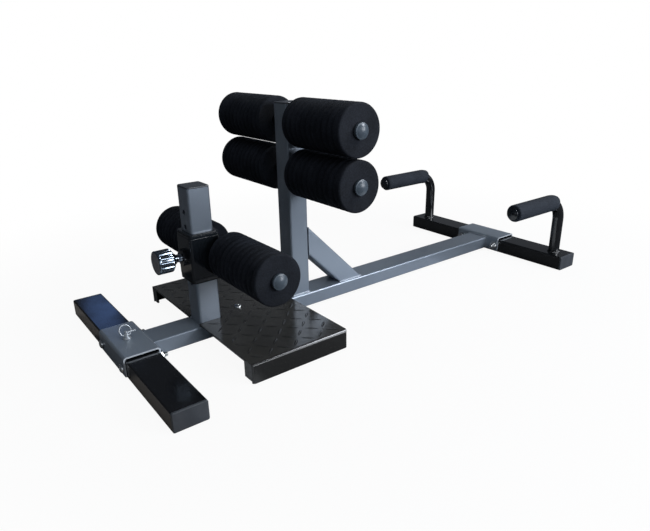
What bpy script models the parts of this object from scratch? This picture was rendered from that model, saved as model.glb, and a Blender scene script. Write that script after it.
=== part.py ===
"""Sissy squat machine: a low steel frame with a tread plate, foam rollers and push-up handles.

Units are metres, +Z is up. X runs across the machine and Y along it: the ankle rollers and the
pull knob look towards -Y, the push-up handles stand at +Y. The origin is on the floor, halfway
between the two foot bars.
"""
import math

import bmesh
import bpy
from mathutils import Vector

# Driving dimensions
GAP = 0.0003
TOOL_REACH = 0.01
INNER_CORNER = 0.8
FOOT_SPACING = 1.034
FOOT_BAR_WIDTH = 0.060
FOOT_BAR_HEIGHT = 0.035
FRONT_BAR_LENGTH = 0.525
REAR_BAR_LENGTH = 0.512
FOOT_BAR_WALL = 0.002
FOOT_BAR_RADIUS = 0.003
END_CAP_HEAD = 0.005
END_CAP_INSERT = 0.016

BEAM_WIDTH = 0.060
BEAM_HEIGHT = 0.030
BEAM_BOTTOM = 0.004
BEAM_WALL = 0.0025
BEAM_RADIUS = 0.003

BRACKET_LENGTH = 0.136
BRACKET_WALL = 0.003
BRACKET_SIDE_PLAY = 0.0006
BRACKET_HEAD_ROOM = 0.0032
BRACKET_BOTTOM = 0.004
BRACKET_BEND = 0.006
BOLT_SPACING = 0.112
BOLT_HEIGHT = 0.0175
BOLT_RADIUS = 0.005
BOLT_HOLE_RADIUS = 0.0055
BOLT_HEAD_RADIUS = 0.0085
BOLT_HEAD_HEIGHT = 0.0048
BOLT_HEAD_RIM = 0.0012
BOLT_HEAD_SLOPES = (math.radians(35), math.radians(65))
BOLT_END = 0.0145
NUT_FLATS = 0.0165
NUT_HEIGHT = 0.008
NUT_FLANGE_RADIUS = 0.0105
NUT_FLANGE = 0.0013
NUT_CHAMFER = 0.0005
NUT_HEX_SHARE = 0.72
NUT_COLLAR_SHARE = 0.76
NUT_COLLAR_INSET = 0.0008

POST_SIZE = 0.045
POST_WALL = 0.0025
POST_RADIUS = 0.005
POST_CAP = 0.003
POST_CAP_INSERT = 0.014
SHORT_POST_Y = -0.362
SHORT_POST_TOP = 0.304
TALL_POST_Y = -0.145
TALL_POST_TOP = 0.437
BRACE_TOP = 0.1815
PIN_HOLE_RADIUS = 0.0053
PIN_HOLE_PITCH = 0.028
PIN_HOLES_BELOW = 2
PIN_HOLES_ABOVE = 3

PLATE_WIDTH = 0.446
PLATE_DEPTH = 0.207
PLATE_FRONT = -0.3875
PLATE_THICKNESS = 0.004
PLATE_BEND = 0.006
PLATE_CLEARANCE = 0.001
TAB_WIDTH = 0.028
TAB_BOTTOM = 0.005
TAB_OVERCUT = 0.001
NOTCH_PLAY = 0.0007
SCREW_Y = -0.290
SCREW_RADIUS = 0.004
SCREW_LENGTH = 0.016
SCREW_TIP = 0.001
SCREW_HEAD = 0.0075
SCREW_HEAD_RIM = 0.0012
SCREW_HEAD_SLOPE = 0.0034
SCREW_HEAD_HEIGHT = 0.0042

SLEEVE_SIZE = 0.060
SLEEVE_WALL = 0.0025
SLEEVE_RADIUS = 0.005
SLEEVE_BOTTOM = 0.132
SLEEVE_TOP = 0.210
COLLAR_SIZE = 0.060
COLLAR_TOP = 0.009
COLLAR_BOTTOM = 0.010
COLLAR_GROOVE = 0.0010
COLLAR_GROOVE_TOP = 0.0026
COLLAR_GROOVE_END = 0.0040
BUSHING_DEPTH = 0.018

PIN_Z = 0.171
WELD_NUT_FLATS = 0.029
WELD_NUT_DEPTH = 0.008
BARREL_RADIUS = 0.0075
BARREL_FRONT = 0.018
BARREL_BACK = 0.0068
BARREL_BORE = 0.0052
BARREL_LIP = 0.002
BARREL_CHAMFER = 0.001
PLUNGER_STEM = 0.003
PLUNGER_TIP = 0.0047
PLUNGER_SHOULDER = 0.006
PLUNGER_SLOPE = 0.001
PLUNGER_TAPER = 0.0015
PLUNGER_TAPER_IN = 0.0012
KNOB_RADIUS = 0.0224
KNOB_LENGTH = 0.038
KNOB_BACK = 0.019
KNOB_BACK_RADIUS = 0.0092
KNOB_RECESS = 0.008
KNOB_EDGE = 0.001
KNOB_SLOPE = 0.009
KNOB_GRIP_START = 0.0105
KNOB_GRIP_END = 0.003
KNOB_RIM = 0.002
KNOB_FLUTES = 18
KNOB_FLUTE_DEPTH = 0.0014
STEM_LENGTH = 0.030
SPRING_RADIUS = 0.0041
SPRING_WIRE = 0.0009
SPRING_TURNS = 7

ROLLER_BAR_RADIUS = 0.0125
ROLLER_BAR_WALL = 0.002
ROLLER_BORE = 0.0130
ROLLER_RIBS = 10
ROLLER_RIB_START = 0.013
ROLLER_RIB_PITCH = 0.0155
ROLLER_GROOVE_WIDTH = 0.0070
ROLLER_GROOVE_DEPTH = 0.0019
ROLLER_EDGE = 0.003
ROLLER_SIDES = 18
ANKLE_ROLLER_RADIUS = 0.0467
ANKLE_ROLLER_INNER = 0.043
ANKLE_ROLLER_OUTER = 0.210
ANKLE_BAR_Z = 0.1685
LEG_ROLLER_RADIUS = 0.0463
LEG_ROLLER_INNER = 0.042
LEG_ROLLER_OUTER = 0.214
LEG_BAR_HEIGHTS = {"upper": 0.3994, "lower": 0.3022}
PLUG_RADIUS = 0.0145
PLUG_DOME = 0.0110
PLUG_INSERT = 0.016
PLUG_RIM = 0.002
PLUG_WALL = 0.002

HANDLE_X = 0.2155
HANDLE_Z = 0.170
HANDLE_RADIUS = 0.0131
HANDLE_WALL = 0.002
HANDLE_BEND = 0.050
HANDLE_FRONT = 0.323
GRIP_RADIUS = 0.0201
GRIP_BORE = 0.0134
GRIP_WRAP = math.radians(21)

LOCK_PIN_SHIFT = -0.0025
LOCK_PIN_RADIUS = 0.004
LOCK_PIN_BOTTOM = 0.020
LOCK_PIN_HOLE_BOTTOM = 0.018
LOCK_PIN_TIP = 0.0015
LOCK_PIN_COLLAR = 0.0075
LOCK_PIN_COLLAR_HEIGHT = 0.002
LOCK_PIN_HEAD_START = 0.003
LOCK_PIN_HEAD = 0.0045
LOCK_PIN_TOP = 0.0565
LOCK_PIN_NECK = 0.003
LOCK_PIN_NECK_Z = 0.0520
LOCK_PIN_NECK_SLOPE = 0.0015
LOCK_PIN_TOP_EDGE = 0.0007
EYE_Z = 0.0475
EYE_RADIUS = 0.0023
FINGER_BAR_Z = 0.0539
FINGER_BAR_RADIUS = 0.0014
FINGER_BAR_LENGTH = 0.018
RING_RADIUS = 0.0103
RING_WIRE = 0.0014
RING_SAG = 0.0005
RING_TURN = math.radians(90)
RING_LEAN = math.radians(-30)

# Sizes that follow
FRONT_Y = -FOOT_SPACING / 2
REAR_Y = FOOT_SPACING / 2
LOCK_PIN_Y = FRONT_Y + LOCK_PIN_SHIFT
BEAM_TOP = BEAM_BOTTOM + BEAM_HEIGHT
BRACKET_HALF_DEPTH = FOOT_BAR_WIDTH / 2 + BRACKET_SIDE_PLAY + BRACKET_WALL
BRACKET_TOP = FOOT_BAR_HEIGHT + BRACKET_HEAD_ROOM + BRACKET_WALL
PLATE_TOP = BEAM_TOP + GAP + PLATE_THICKNESS
POST_HALF = POST_SIZE / 2
SLEEVE_FRONT = SHORT_POST_Y - SLEEVE_SIZE / 2
ANKLE_BAR_Y = SHORT_POST_Y + SLEEVE_SIZE / 2 + GAP + ROLLER_BAR_RADIUS
SIDES = {"left": -1, "right": 1}

# Finishes: colour, roughness, metallic
FINISHES = {
    "grey_paint": ((0.42, 0.45, 0.48), 0.35, 0.5),
    "black_paint": ((0.015, 0.016, 0.018), 0.25, 0.0),
    "tread_black": ((0.02, 0.022, 0.025), 0.3, 0.2),
    "black_foam": ((0.025, 0.027, 0.03), 0.9, 0.0),
    "black_plastic": ((0.03, 0.03, 0.032), 0.5, 0.0),
    "grey_plastic": ((0.09, 0.10, 0.11), 0.45, 0.0),
    "zinc": ((0.62, 0.62, 0.60), 0.3, 1.0),
    "chrome": ((0.75, 0.76, 0.78), 0.08, 1.0),
    "spring_steel": ((0.5, 0.5, 0.5), 0.3, 1.0),
}


def clear_scene():
    """Removes whatever objects the file starts with."""
    for item in list(bpy.data.objects):
        bpy.data.objects.remove(item, do_unlink=True)


def finish(name):
    """Returns the material of a finish, made on first use."""
    material = bpy.data.materials.get(name)
    if material is None:
        colour, roughness, metallic = FINISHES[name]
        material = bpy.data.materials.new(name)
        material.use_nodes = True
        shader = material.node_tree.nodes["Principled BSDF"]
        shader.inputs["Base Color"].default_value = (*colour, 1.0)
        shader.inputs["Roughness"].default_value = roughness
        shader.inputs["Metallic"].default_value = metallic
        material.diffuse_color = (*colour, 1.0)
    return material


def add_object(name, bm, material, at=(0.0, 0.0, 0.0), smooth=True):
    """Turns a bmesh into a named object whose origin is at a point of the machine."""
    origin = Vector(at)
    bmesh.ops.translate(bm, verts=bm.verts, vec=-origin)
    bmesh.ops.recalc_face_normals(bm, faces=bm.faces)
    mesh = bpy.data.meshes.new(name)
    bm.to_mesh(mesh)
    bm.free()
    if smooth:
        mesh.shade_smooth()
        mesh.set_sharp_from_angle(angle=math.radians(35))
    mesh.materials.append(finish(material))
    item = bpy.data.objects.new(name, mesh)
    item.location = origin
    bpy.context.scene.collection.objects.link(item)
    return item


def hang(item, parent):
    """Parents an object and keeps it where it stands."""
    item.parent = parent
    item.matrix_parent_inverse = parent.matrix_basis.inverted()


def joint_empty(name, at):
    """Makes an empty on the axis of a moving group."""
    empty = bpy.data.objects.new(name, None)
    empty.empty_display_size = 0.03
    empty.location = at
    bpy.context.scene.collection.objects.link(empty)
    return empty


def combine(item, tool, operation):
    """Cuts a tool out of an object, or joins it on, and removes the tool."""
    change = item.modifiers.new(operation.lower(), "BOOLEAN")
    change.operation = operation
    change.solver = "EXACT"
    change.object = tool
    bpy.context.view_layer.update()
    result = item.evaluated_get(bpy.context.evaluated_depsgraph_get())
    mesh = bpy.data.meshes.new_from_object(result)
    mesh.name = item.name
    item.modifiers.clear()
    old = item.data
    item.data = mesh
    bpy.data.meshes.remove(old)
    bpy.data.objects.remove(tool, do_unlink=True)


def rounded_rectangle(width, height, radius, steps=3):
    """Returns the outline of a rectangle with round corners, anticlockwise about its centre."""
    points = []
    for corner, (sx, sy) in enumerate(((1, 1), (-1, 1), (-1, -1), (1, -1))):
        centre = (sx * (width / 2 - radius), sy * (height / 2 - radius))
        for step in range(steps + 1):
            angle = math.pi / 2 * (corner + step / steps)
            points.append((centre[0] + radius * math.cos(angle), centre[1] + radius * math.sin(angle)))
    return points


def circle(radius, sides, turn=0.0):
    """Returns a round outline about its centre."""
    step = 2 * math.pi / sides
    return [(radius * math.cos(turn + step * i), radius * math.sin(turn + step * i)) for i in range(sides)]


def hexagon(flats):
    """Returns a hexagon of a given width across its flats."""
    return circle(flats / math.sqrt(3), 6)


def place(outline, centre, u, v):
    """Puts a flat outline into space, with its two directions along u and v."""
    return [centre + u * a + v * b for a, b in outline]


def skin(bm, rings, closed=False):
    """Joins rings of equal counts into a shell: closed runs back to the first ring, else it is capped."""
    loops = [[bm.verts.new(point) for point in ring] for ring in rings]
    pairs = list(zip(loops, loops[1:]))
    if closed:
        pairs.append((loops[-1], loops[0]))
    for low, high in pairs:
        for i in range(len(low)):
            j = (i + 1) % len(low)
            bm.faces.new((low[i], low[j], high[j], high[i]))
    if not closed:
        bm.faces.new(loops[0])
        bm.faces.new(loops[-1])


def skinned(name, rings, material, at=(0.0, 0.0, 0.0), closed=False):
    """Makes an object from rings of points."""
    bm = bmesh.new()
    skin(bm, rings, closed)
    return add_object(name, bm, material, at)


def turned(name, profile, axis, centre, sides, material, at=None, closed=True, turn=0.0):
    """Turns a profile of (radius, distance) pairs about an axis. A closed profile leaves a bore."""
    axis = Vector(axis)
    u = axis.orthogonal().normalized()
    v = axis.cross(u)
    centre = Vector(centre)
    rings = [place(circle(radius, sides, turn), centre + axis * along, u, v) for radius, along in profile]
    return skinned(name, rings, material, centre if at is None else at, closed)


def rod(radius, start, end, sides, turn=0.0):
    """Makes a plain round tool between two points."""
    start = Vector(start)
    axis = Vector(end) - start
    profile = ((radius, 0.0), (radius, axis.length))
    return turned("tool", profile, axis.normalized(), start, sides, "zinc", closed=False, turn=turn)


def block(low, high):
    """Makes a plain rectangular tool between two corners."""
    bm = bmesh.new()
    low = Vector(low)
    size = Vector(high) - low
    bmesh.ops.create_cube(bm, size=1.0)
    bmesh.ops.scale(bm, vec=size, verts=bm.verts)
    bmesh.ops.translate(bm, vec=low + size / 2, verts=bm.verts)
    return add_object("tool", bm, "zinc", smooth=False)


def box_tube(name, size, radius, wall, start, end, sideways, material):
    """Makes a rectangular tube between two points; sideways is the direction of its first size."""
    start = Vector(start)
    end = Vector(end)
    u = Vector(sideways)
    v = (end - start).normalized().cross(u)
    outer = rounded_rectangle(size[0], size[1], radius)
    inner = rounded_rectangle(size[0] - 2 * wall, size[1] - 2 * wall, radius - wall * INNER_CORNER)
    corners = ((outer, start), (outer, end), (inner, end), (inner, start))
    rings = [place(outline, at, u, v) for outline, at in corners]
    return skinned(name, rings, material, (start + end) / 2, closed=True)


def box_cap(name, size, radius, tube_wall, at, outward, sideways, head, insert, material):
    """Makes a moulded cap: a head as wide as the tube, and a hollow skirt that goes inside it."""
    at = Vector(at)
    n = Vector(outward)
    u = Vector(sideways)
    v = n.cross(u)
    skirt_wall = 0.0018
    edge = 0.0012
    fit = tube_wall + GAP
    face = rounded_rectangle(size[0] - 2 * edge, size[1] - 2 * edge, radius)
    rim = rounded_rectangle(size[0], size[1], radius)
    skirt = rounded_rectangle(size[0] - 2 * fit, size[1] - 2 * fit, radius - tube_wall * INNER_CORNER)
    hollow_size = (size[0] - 2 * (fit + skirt_wall), size[1] - 2 * (fit + skirt_wall))
    hollow = rounded_rectangle(*hollow_size, radius - tube_wall * INNER_CORNER)
    steps = ((face, head), (rim, head - edge), (rim, GAP), (skirt, GAP), (skirt, -insert), (hollow, -insert),
             (hollow, -skirt_wall))
    rings = [place(outline, at + n * distance, u, v) for outline, distance in steps]
    return skinned(name, rings, material, at)


def make_beam():
    """The flat tube that runs along the floor between the two brackets."""
    middle = BEAM_BOTTOM + BEAM_HEIGHT / 2
    reach = FOOT_SPACING / 2 - BRACKET_HALF_DEPTH - GAP
    beam = box_tube("main_beam", (BEAM_WIDTH, BEAM_HEIGHT), BEAM_RADIUS, BEAM_WALL,
                    (0, -reach, middle), (0, reach, middle), (1, 0, 0), "grey_paint")
    screw_hole = rod(SCREW_RADIUS + GAP, (0, SCREW_Y, middle), (0, SCREW_Y, BEAM_TOP + TOOL_REACH), 16)
    combine(beam, screw_hole, "DIFFERENCE")
    return beam


def make_foot(label, y, length):
    """A foot bar with its two end caps, and the holes that its bolts pass through."""
    centre = FOOT_BAR_HEIGHT / 2
    reach = length / 2 - END_CAP_HEAD
    size = (FOOT_BAR_WIDTH, FOOT_BAR_HEIGHT)
    bar = box_tube(f"{label}_foot_bar", size, FOOT_BAR_RADIUS, FOOT_BAR_WALL,
                   (-reach, y, centre), (reach, y, centre), (0, 1, 0), "black_paint")
    for side in SIDES.values():
        drill_bolt_hole(bar, side * BOLT_SPACING / 2, y)
    parts = [bar]
    for word, side in SIDES.items():
        parts.append(box_cap(f"{label}_foot_cap_{word}", size, FOOT_BAR_RADIUS, FOOT_BAR_WALL,
                             (side * reach, y, centre), (side, 0, 0), (0, 1, 0),
                             END_CAP_HEAD, END_CAP_INSERT, "black_plastic"))
    return parts


def drill_bolt_hole(item, x, y):
    """Drills one bolt hole straight through along Y."""
    reach = BRACKET_HALF_DEPTH + TOOL_REACH
    tool = rod(BOLT_HOLE_RADIUS, (x, y - reach, BOLT_HEIGHT), (x, y + reach, BOLT_HEIGHT), 12)
    combine(item, tool, "DIFFERENCE")


def bent_channel(half_width, top, bottom, wall, bend, steps=4):
    """Returns the outline of a channel open at its foot, bent round at its two upper corners."""
    def leg_and_bend(half, crown, radius):
        points = [(half, bottom)]
        for step in range(steps + 1):
            angle = math.pi / 2 * step / steps
            out = half - radius + radius * math.cos(angle)
            points.append((out, crown - radius + radius * math.sin(angle)))
        return points

    outer = leg_and_bend(half_width, top, bend)
    inner = leg_and_bend(half_width - wall, top - wall, bend - wall)
    mirrored = [(-a, b) for a, b in reversed(outer)]
    lining = [(-a, b) for a, b in inner]
    return outer + mirrored + lining + list(reversed(inner))


def make_bracket(label, y):
    """The channel that is welded across the beam's end and straddles the foot bar."""
    outline = bent_channel(BRACKET_HALF_DEPTH, BRACKET_TOP, BRACKET_BOTTOM, BRACKET_WALL, BRACKET_BEND)
    ends = [Vector((side * BRACKET_LENGTH / 2, y, 0)) for side in SIDES.values()]
    rings = [place(outline, end, Vector((0, 1, 0)), Vector((0, 0, 1))) for end in ends]
    bracket = skinned(f"{label}_bracket", rings, "grey_paint", (0, y, BRACKET_TOP))
    for side in SIDES.values():
        drill_bolt_hole(bracket, side * BOLT_SPACING / 2, y)
    return bracket


def make_bracket_bolt(label, word, y, inward):
    """A button-headed bolt with its head looking away from the beam, and its flanged lock nut."""
    face = BRACKET_HALF_DEPTH + GAP
    x = SIDES[word] * BOLT_SPACING / 2
    shank = [(BOLT_RADIUS, -face - BOLT_END), (BOLT_RADIUS, face)]
    rim = BOLT_HEAD_RIM
    head = [(BOLT_HEAD_RADIUS, face), (BOLT_HEAD_RADIUS, face + rim)]
    for angle in BOLT_HEAD_SLOPES:
        rise = (BOLT_HEAD_HEIGHT - rim) * math.sin(angle) / math.sin(BOLT_HEAD_SLOPES[-1])
        head.append((BOLT_HEAD_RADIUS * math.cos(angle), face + rim + rise))
    bolt = turned(f"{label}_bracket_bolt_{word}", shank + head, (0, -inward, 0), (x, y, BOLT_HEIGHT), 12,
                  "zinc", closed=False)
    u = Vector((1, 0, 0))
    v = Vector((0, 0, 1))
    seat = Vector((x, y + inward * face, BOLT_HEIGHT))
    out = Vector((0, inward, 0))
    flats = densify(hexagon(NUT_FLATS))
    bore = circle(BOLT_RADIUS + GAP, len(flats))
    collar = circle(NUT_FLATS / 2 - NUT_COLLAR_INSET, len(flats))
    flange = circle(NUT_FLANGE_RADIUS, len(flats))
    steps = ((bore, 0.0), (flange, 0.0), (flange, NUT_FLANGE), (flats, NUT_FLANGE + NUT_CHAMFER),
             (flats, NUT_HEIGHT * NUT_HEX_SHARE), (collar, NUT_HEIGHT * NUT_COLLAR_SHARE),
             (collar, NUT_HEIGHT), (bore, NUT_HEIGHT))
    rings = [place(outline, seat + out * distance, u, v) for outline, distance in steps]
    nut = skinned(f"{label}_bracket_nut_{word}", rings, "zinc", seat, closed=True)
    return [bolt, nut]


def densify(outline):
    """Adds the middle of every side, so that a hexagon joins a round ring of twelve points."""
    points = []
    for i, (a, b) in enumerate(outline):
        c, d = outline[(i + 1) % len(outline)]
        points += [(a, b), ((a + c) / 2, (b + d) / 2)]
    return points


def make_lock_pin():
    """The lift-out pin of the front bracket: a shank with a collar, a drilled head and a finger bar."""
    at = Vector((0, LOCK_PIN_Y, 0))
    base = BRACKET_TOP + GAP
    profile = ((LOCK_PIN_RADIUS * 0.7, LOCK_PIN_BOTTOM), (LOCK_PIN_RADIUS, LOCK_PIN_BOTTOM + LOCK_PIN_TIP),
               (LOCK_PIN_RADIUS, base), (LOCK_PIN_COLLAR, base),
               (LOCK_PIN_COLLAR, base + LOCK_PIN_COLLAR_HEIGHT), (LOCK_PIN_HEAD, base + LOCK_PIN_HEAD_START),
               (LOCK_PIN_HEAD, LOCK_PIN_NECK_Z - LOCK_PIN_NECK_SLOPE), (LOCK_PIN_NECK, LOCK_PIN_NECK_Z),
               (LOCK_PIN_NECK, LOCK_PIN_TOP - LOCK_PIN_TOP_EDGE),
               (LOCK_PIN_NECK - LOCK_PIN_TOP_EDGE, LOCK_PIN_TOP))
    pin = turned("lock_pin", profile, (0, 0, 1), at, 14, "chrome", at=(0, LOCK_PIN_Y, BRACKET_TOP),
                 closed=False)
    bar_end = (0, LOCK_PIN_Y + FINGER_BAR_LENGTH, FINGER_BAR_Z)
    bar = rod(FINGER_BAR_RADIUS, (0, LOCK_PIN_Y, FINGER_BAR_Z), bar_end, 10)
    combine(pin, bar, "UNION")
    along = Vector((math.cos(RING_TURN), math.sin(RING_TURN), 0)) * 0.02
    eye = Vector((0, LOCK_PIN_Y, EYE_Z))
    combine(pin, rod(EYE_RADIUS, eye - along, eye + along, 12), "DIFFERENCE")
    hole_ends = [(0, LOCK_PIN_Y, z) for z in (LOCK_PIN_HOLE_BOTTOM, BRACKET_TOP + TOOL_REACH)]
    for item_name in ("front_bracket", "front_foot_bar"):
        hole = rod(LOCK_PIN_RADIUS + 2 * GAP, *hole_ends, 16)
        combine(bpy.data.objects[item_name], hole, "DIFFERENCE")
    return pin


def make_pull_ring():
    """The round wire ring that passes through the lock pin's head and swings in it."""
    along = Vector((math.cos(RING_TURN), math.sin(RING_TURN), 0))
    lean = along.cross(Vector((0, 0, 1)))
    up = Vector((0, 0, 1)) * math.cos(RING_LEAN) + lean * math.sin(RING_LEAN)
    eye = Vector((0, LOCK_PIN_Y, EYE_Z))
    centre = eye + up * (RING_RADIUS - RING_SAG)
    out = along.cross(up)
    rings = []
    for a, b in circle(1.0, 22, -math.pi / 2):
        outward = along * a + up * b
        rings.append(place(circle(RING_WIRE, 6), centre + outward * RING_RADIUS, outward, out))
    return skinned("pull_ring", rings, "chrome", eye, closed=True)


def make_post(name, y, top):
    """An upright square tube on the beam, and the cap in its mouth."""
    size = (POST_SIZE, POST_SIZE)
    foot = BEAM_TOP + GAP
    mouth = top - POST_CAP
    post = box_tube(name, size, POST_RADIUS, POST_WALL, (0, y, foot), (0, y, mouth), (1, 0, 0), "grey_paint")
    cap = box_cap(f"{name}_cap", size, POST_RADIUS, POST_WALL, (0, y, mouth), (0, 0, 1), (1, 0, 0),
                  POST_CAP, POST_CAP_INSERT, "black_plastic")
    return [post, cap]


def drill_pin_holes(post):
    """Drills the row of height holes in the short post's front wall."""
    for step in range(-PIN_HOLES_BELOW, PIN_HOLES_ABOVE + 1):
        z = PIN_Z + step * PIN_HOLE_PITCH
        front = SHORT_POST_Y - POST_HALF
        tool = rod(PIN_HOLE_RADIUS, (0, front - TOOL_REACH, z), (0, front + TOOL_REACH, z), 10)
        combine(post, tool, "DIFFERENCE")


def make_brace():
    """The square tube that leans at 45 degrees from the beam to the back of the tall post."""
    wall_y = TALL_POST_Y + POST_HALF + GAP
    floor_z = BEAM_TOP + GAP
    down = Vector((0, 1, -1)).normalized()
    thick = Vector((0, 1, 1)).normalized()
    across = Vector((1, 0, 0))
    middle = Vector((0, wall_y, BRACE_TOP)) - thick * POST_HALF
    outer = rounded_rectangle(POST_SIZE, POST_SIZE, POST_RADIUS)
    bore = POST_SIZE - 2 * POST_WALL
    inner = rounded_rectangle(bore, bore, POST_RADIUS - POST_WALL * INNER_CORNER)

    def mitre(outline, plane_axis, plane_value):
        ring = []
        for point in place(outline, middle, across, thick):
            distance = (plane_value - point[plane_axis]) / down[plane_axis]
            ring.append(point + down * distance)
        return ring

    cuts = ((outer, 1, wall_y), (outer, 2, floor_z), (inner, 2, floor_z), (inner, 1, wall_y))
    rings = [mitre(*cut) for cut in cuts]
    return skinned("brace", rings, "grey_paint", middle, closed=True)


def make_foot_plate():
    """The tread plate: folded down at both ends, with a turned-in tab at each corner and a post notch."""
    half = PLATE_WIDTH / 2
    back = PLATE_FRONT + PLATE_DEPTH
    height = PLATE_TOP - PLATE_CLEARANCE
    centre_y = PLATE_FRONT + PLATE_DEPTH / 2
    bm = bmesh.new()
    bmesh.ops.create_cube(bm, size=1.0)
    bmesh.ops.scale(bm, vec=(PLATE_WIDTH, PLATE_DEPTH, height), verts=bm.verts)
    bmesh.ops.translate(bm, vec=(0, centre_y, PLATE_CLEARANCE + height / 2), verts=bm.verts)

    def is_fold(edge):
        a, b = (vert.co for vert in edge.verts)
        upright = abs(a.z - b.z) > height / 2
        end_top = abs(a.y - b.y) > PLATE_DEPTH / 2 and min(a.z, b.z) > height / 2
        return upright or end_top

    folds = [edge for edge in bm.edges if is_fold(edge)]
    bmesh.ops.bevel(bm, geom=folds, offset=PLATE_BEND, segments=3, profile=0.5, affect="EDGES")
    plate = add_object("foot_plate", bm, "tread_black", (0, centre_y, PLATE_TOP))
    inside = PLATE_TOP - PLATE_THICKNESS
    front_clear = PLATE_FRONT - TOOL_REACH
    back_clear = back + TOOL_REACH
    below = -TOOL_REACH
    above = PLATE_TOP + TOOL_REACH
    combine(plate, block((-half + PLATE_THICKNESS, PLATE_FRONT + PLATE_THICKNESS, below),
                         (half - PLATE_THICKNESS, back - PLATE_THICKNESS, inside)), "DIFFERENCE")
    mouth = half - TAB_WIDTH
    combine(plate, block((-mouth, front_clear, below), (mouth, back_clear, inside)), "DIFFERENCE")
    for side in SIDES.values():
        low, high = sorted((side * mouth, side * (half - PLATE_BEND)))
        under_tab = block((low - TAB_OVERCUT, front_clear, below),
                          (high + TAB_OVERCUT, back_clear, TAB_BOTTOM))
        combine(plate, under_tab, "DIFFERENCE")
    slot = POST_HALF + NOTCH_PLAY
    notch = block((-slot, front_clear, inside - TOOL_REACH), (slot, SHORT_POST_Y + slot, above))
    combine(plate, notch, "DIFFERENCE")
    screw_hole = rod(SCREW_RADIUS + GAP, (0, SCREW_Y, inside - TOOL_REACH), (0, SCREW_Y, above), 16)
    combine(plate, screw_hole, "DIFFERENCE")
    return plate


def make_plate_screw():
    """The button screw that holds the tread plate down on the beam."""
    seat = PLATE_TOP + GAP
    end = seat - SCREW_LENGTH
    profile = [(SCREW_RADIUS * 0.8, end), (SCREW_RADIUS, end + SCREW_TIP), (SCREW_RADIUS, seat),
               (SCREW_HEAD, seat), (SCREW_HEAD, seat + SCREW_HEAD_RIM),
               (SCREW_HEAD * 0.75, seat + SCREW_HEAD_SLOPE), (SCREW_HEAD * 0.4, seat + SCREW_HEAD_HEIGHT)]
    return turned("foot_plate_screw", profile, (0, 0, 1), (0, SCREW_Y, 0), 12, "zinc",
                  at=(0, SCREW_Y, seat), closed=False)


def make_sleeve():
    """The square sleeve that carries the ankle rollers up and down the short post."""
    size = (SLEEVE_SIZE, SLEEVE_SIZE)
    sleeve = box_tube("carriage_sleeve", size, SLEEVE_RADIUS, SLEEVE_WALL,
                      (0, SHORT_POST_Y, SLEEVE_BOTTOM), (0, SHORT_POST_Y, SLEEVE_TOP), (1, 0, 0),
                      "black_paint")
    hole_ends = [(0, SLEEVE_FRONT + reach, PIN_Z) for reach in (-TOOL_REACH, TOOL_REACH)]
    combine(sleeve, rod(BARREL_RADIUS + GAP, *hole_ends, 20), "DIFFERENCE")
    return sleeve


def make_bushing(name, mouth, outward, head):
    """A nylon bushing: a grooved collar on the sleeve's mouth, and a lining round the post."""
    lining = SLEEVE_SIZE - 2 * SLEEVE_WALL - 2 * GAP
    bore = POST_SIZE + 2 * GAP
    edge = 0.0015
    groove = COLLAR_SIZE - 2 * COLLAR_GROOVE
    at = Vector((0, SHORT_POST_Y, mouth))
    n = Vector((0, 0, outward))
    outlines = {
        "face": rounded_rectangle(COLLAR_SIZE - 2 * edge, COLLAR_SIZE - 2 * edge, SLEEVE_RADIUS),
        "rim": rounded_rectangle(COLLAR_SIZE, COLLAR_SIZE, SLEEVE_RADIUS + edge),
        "groove": rounded_rectangle(groove, groove, SLEEVE_RADIUS),
        "lining": rounded_rectangle(lining, lining, SLEEVE_RADIUS - SLEEVE_WALL * INNER_CORNER),
        "bore": rounded_rectangle(bore, bore, POST_RADIUS + GAP),
    }
    steps = (("bore", head), ("face", head), ("rim", head - edge), ("rim", head - COLLAR_GROOVE_TOP),
             ("groove", head - COLLAR_GROOVE_TOP), ("groove", head - COLLAR_GROOVE_END),
             ("rim", head - COLLAR_GROOVE_END), ("rim", GAP), ("lining", GAP), ("lining", -BUSHING_DEPTH),
             ("bore", -BUSHING_DEPTH))
    u = Vector((1, 0, 0))
    v = Vector((0, 1, 0))
    rings = [place(outlines[key], at + n * distance, u, v) for key, distance in steps]
    return skinned(name, rings, "black_plastic", at, closed=True)


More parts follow.
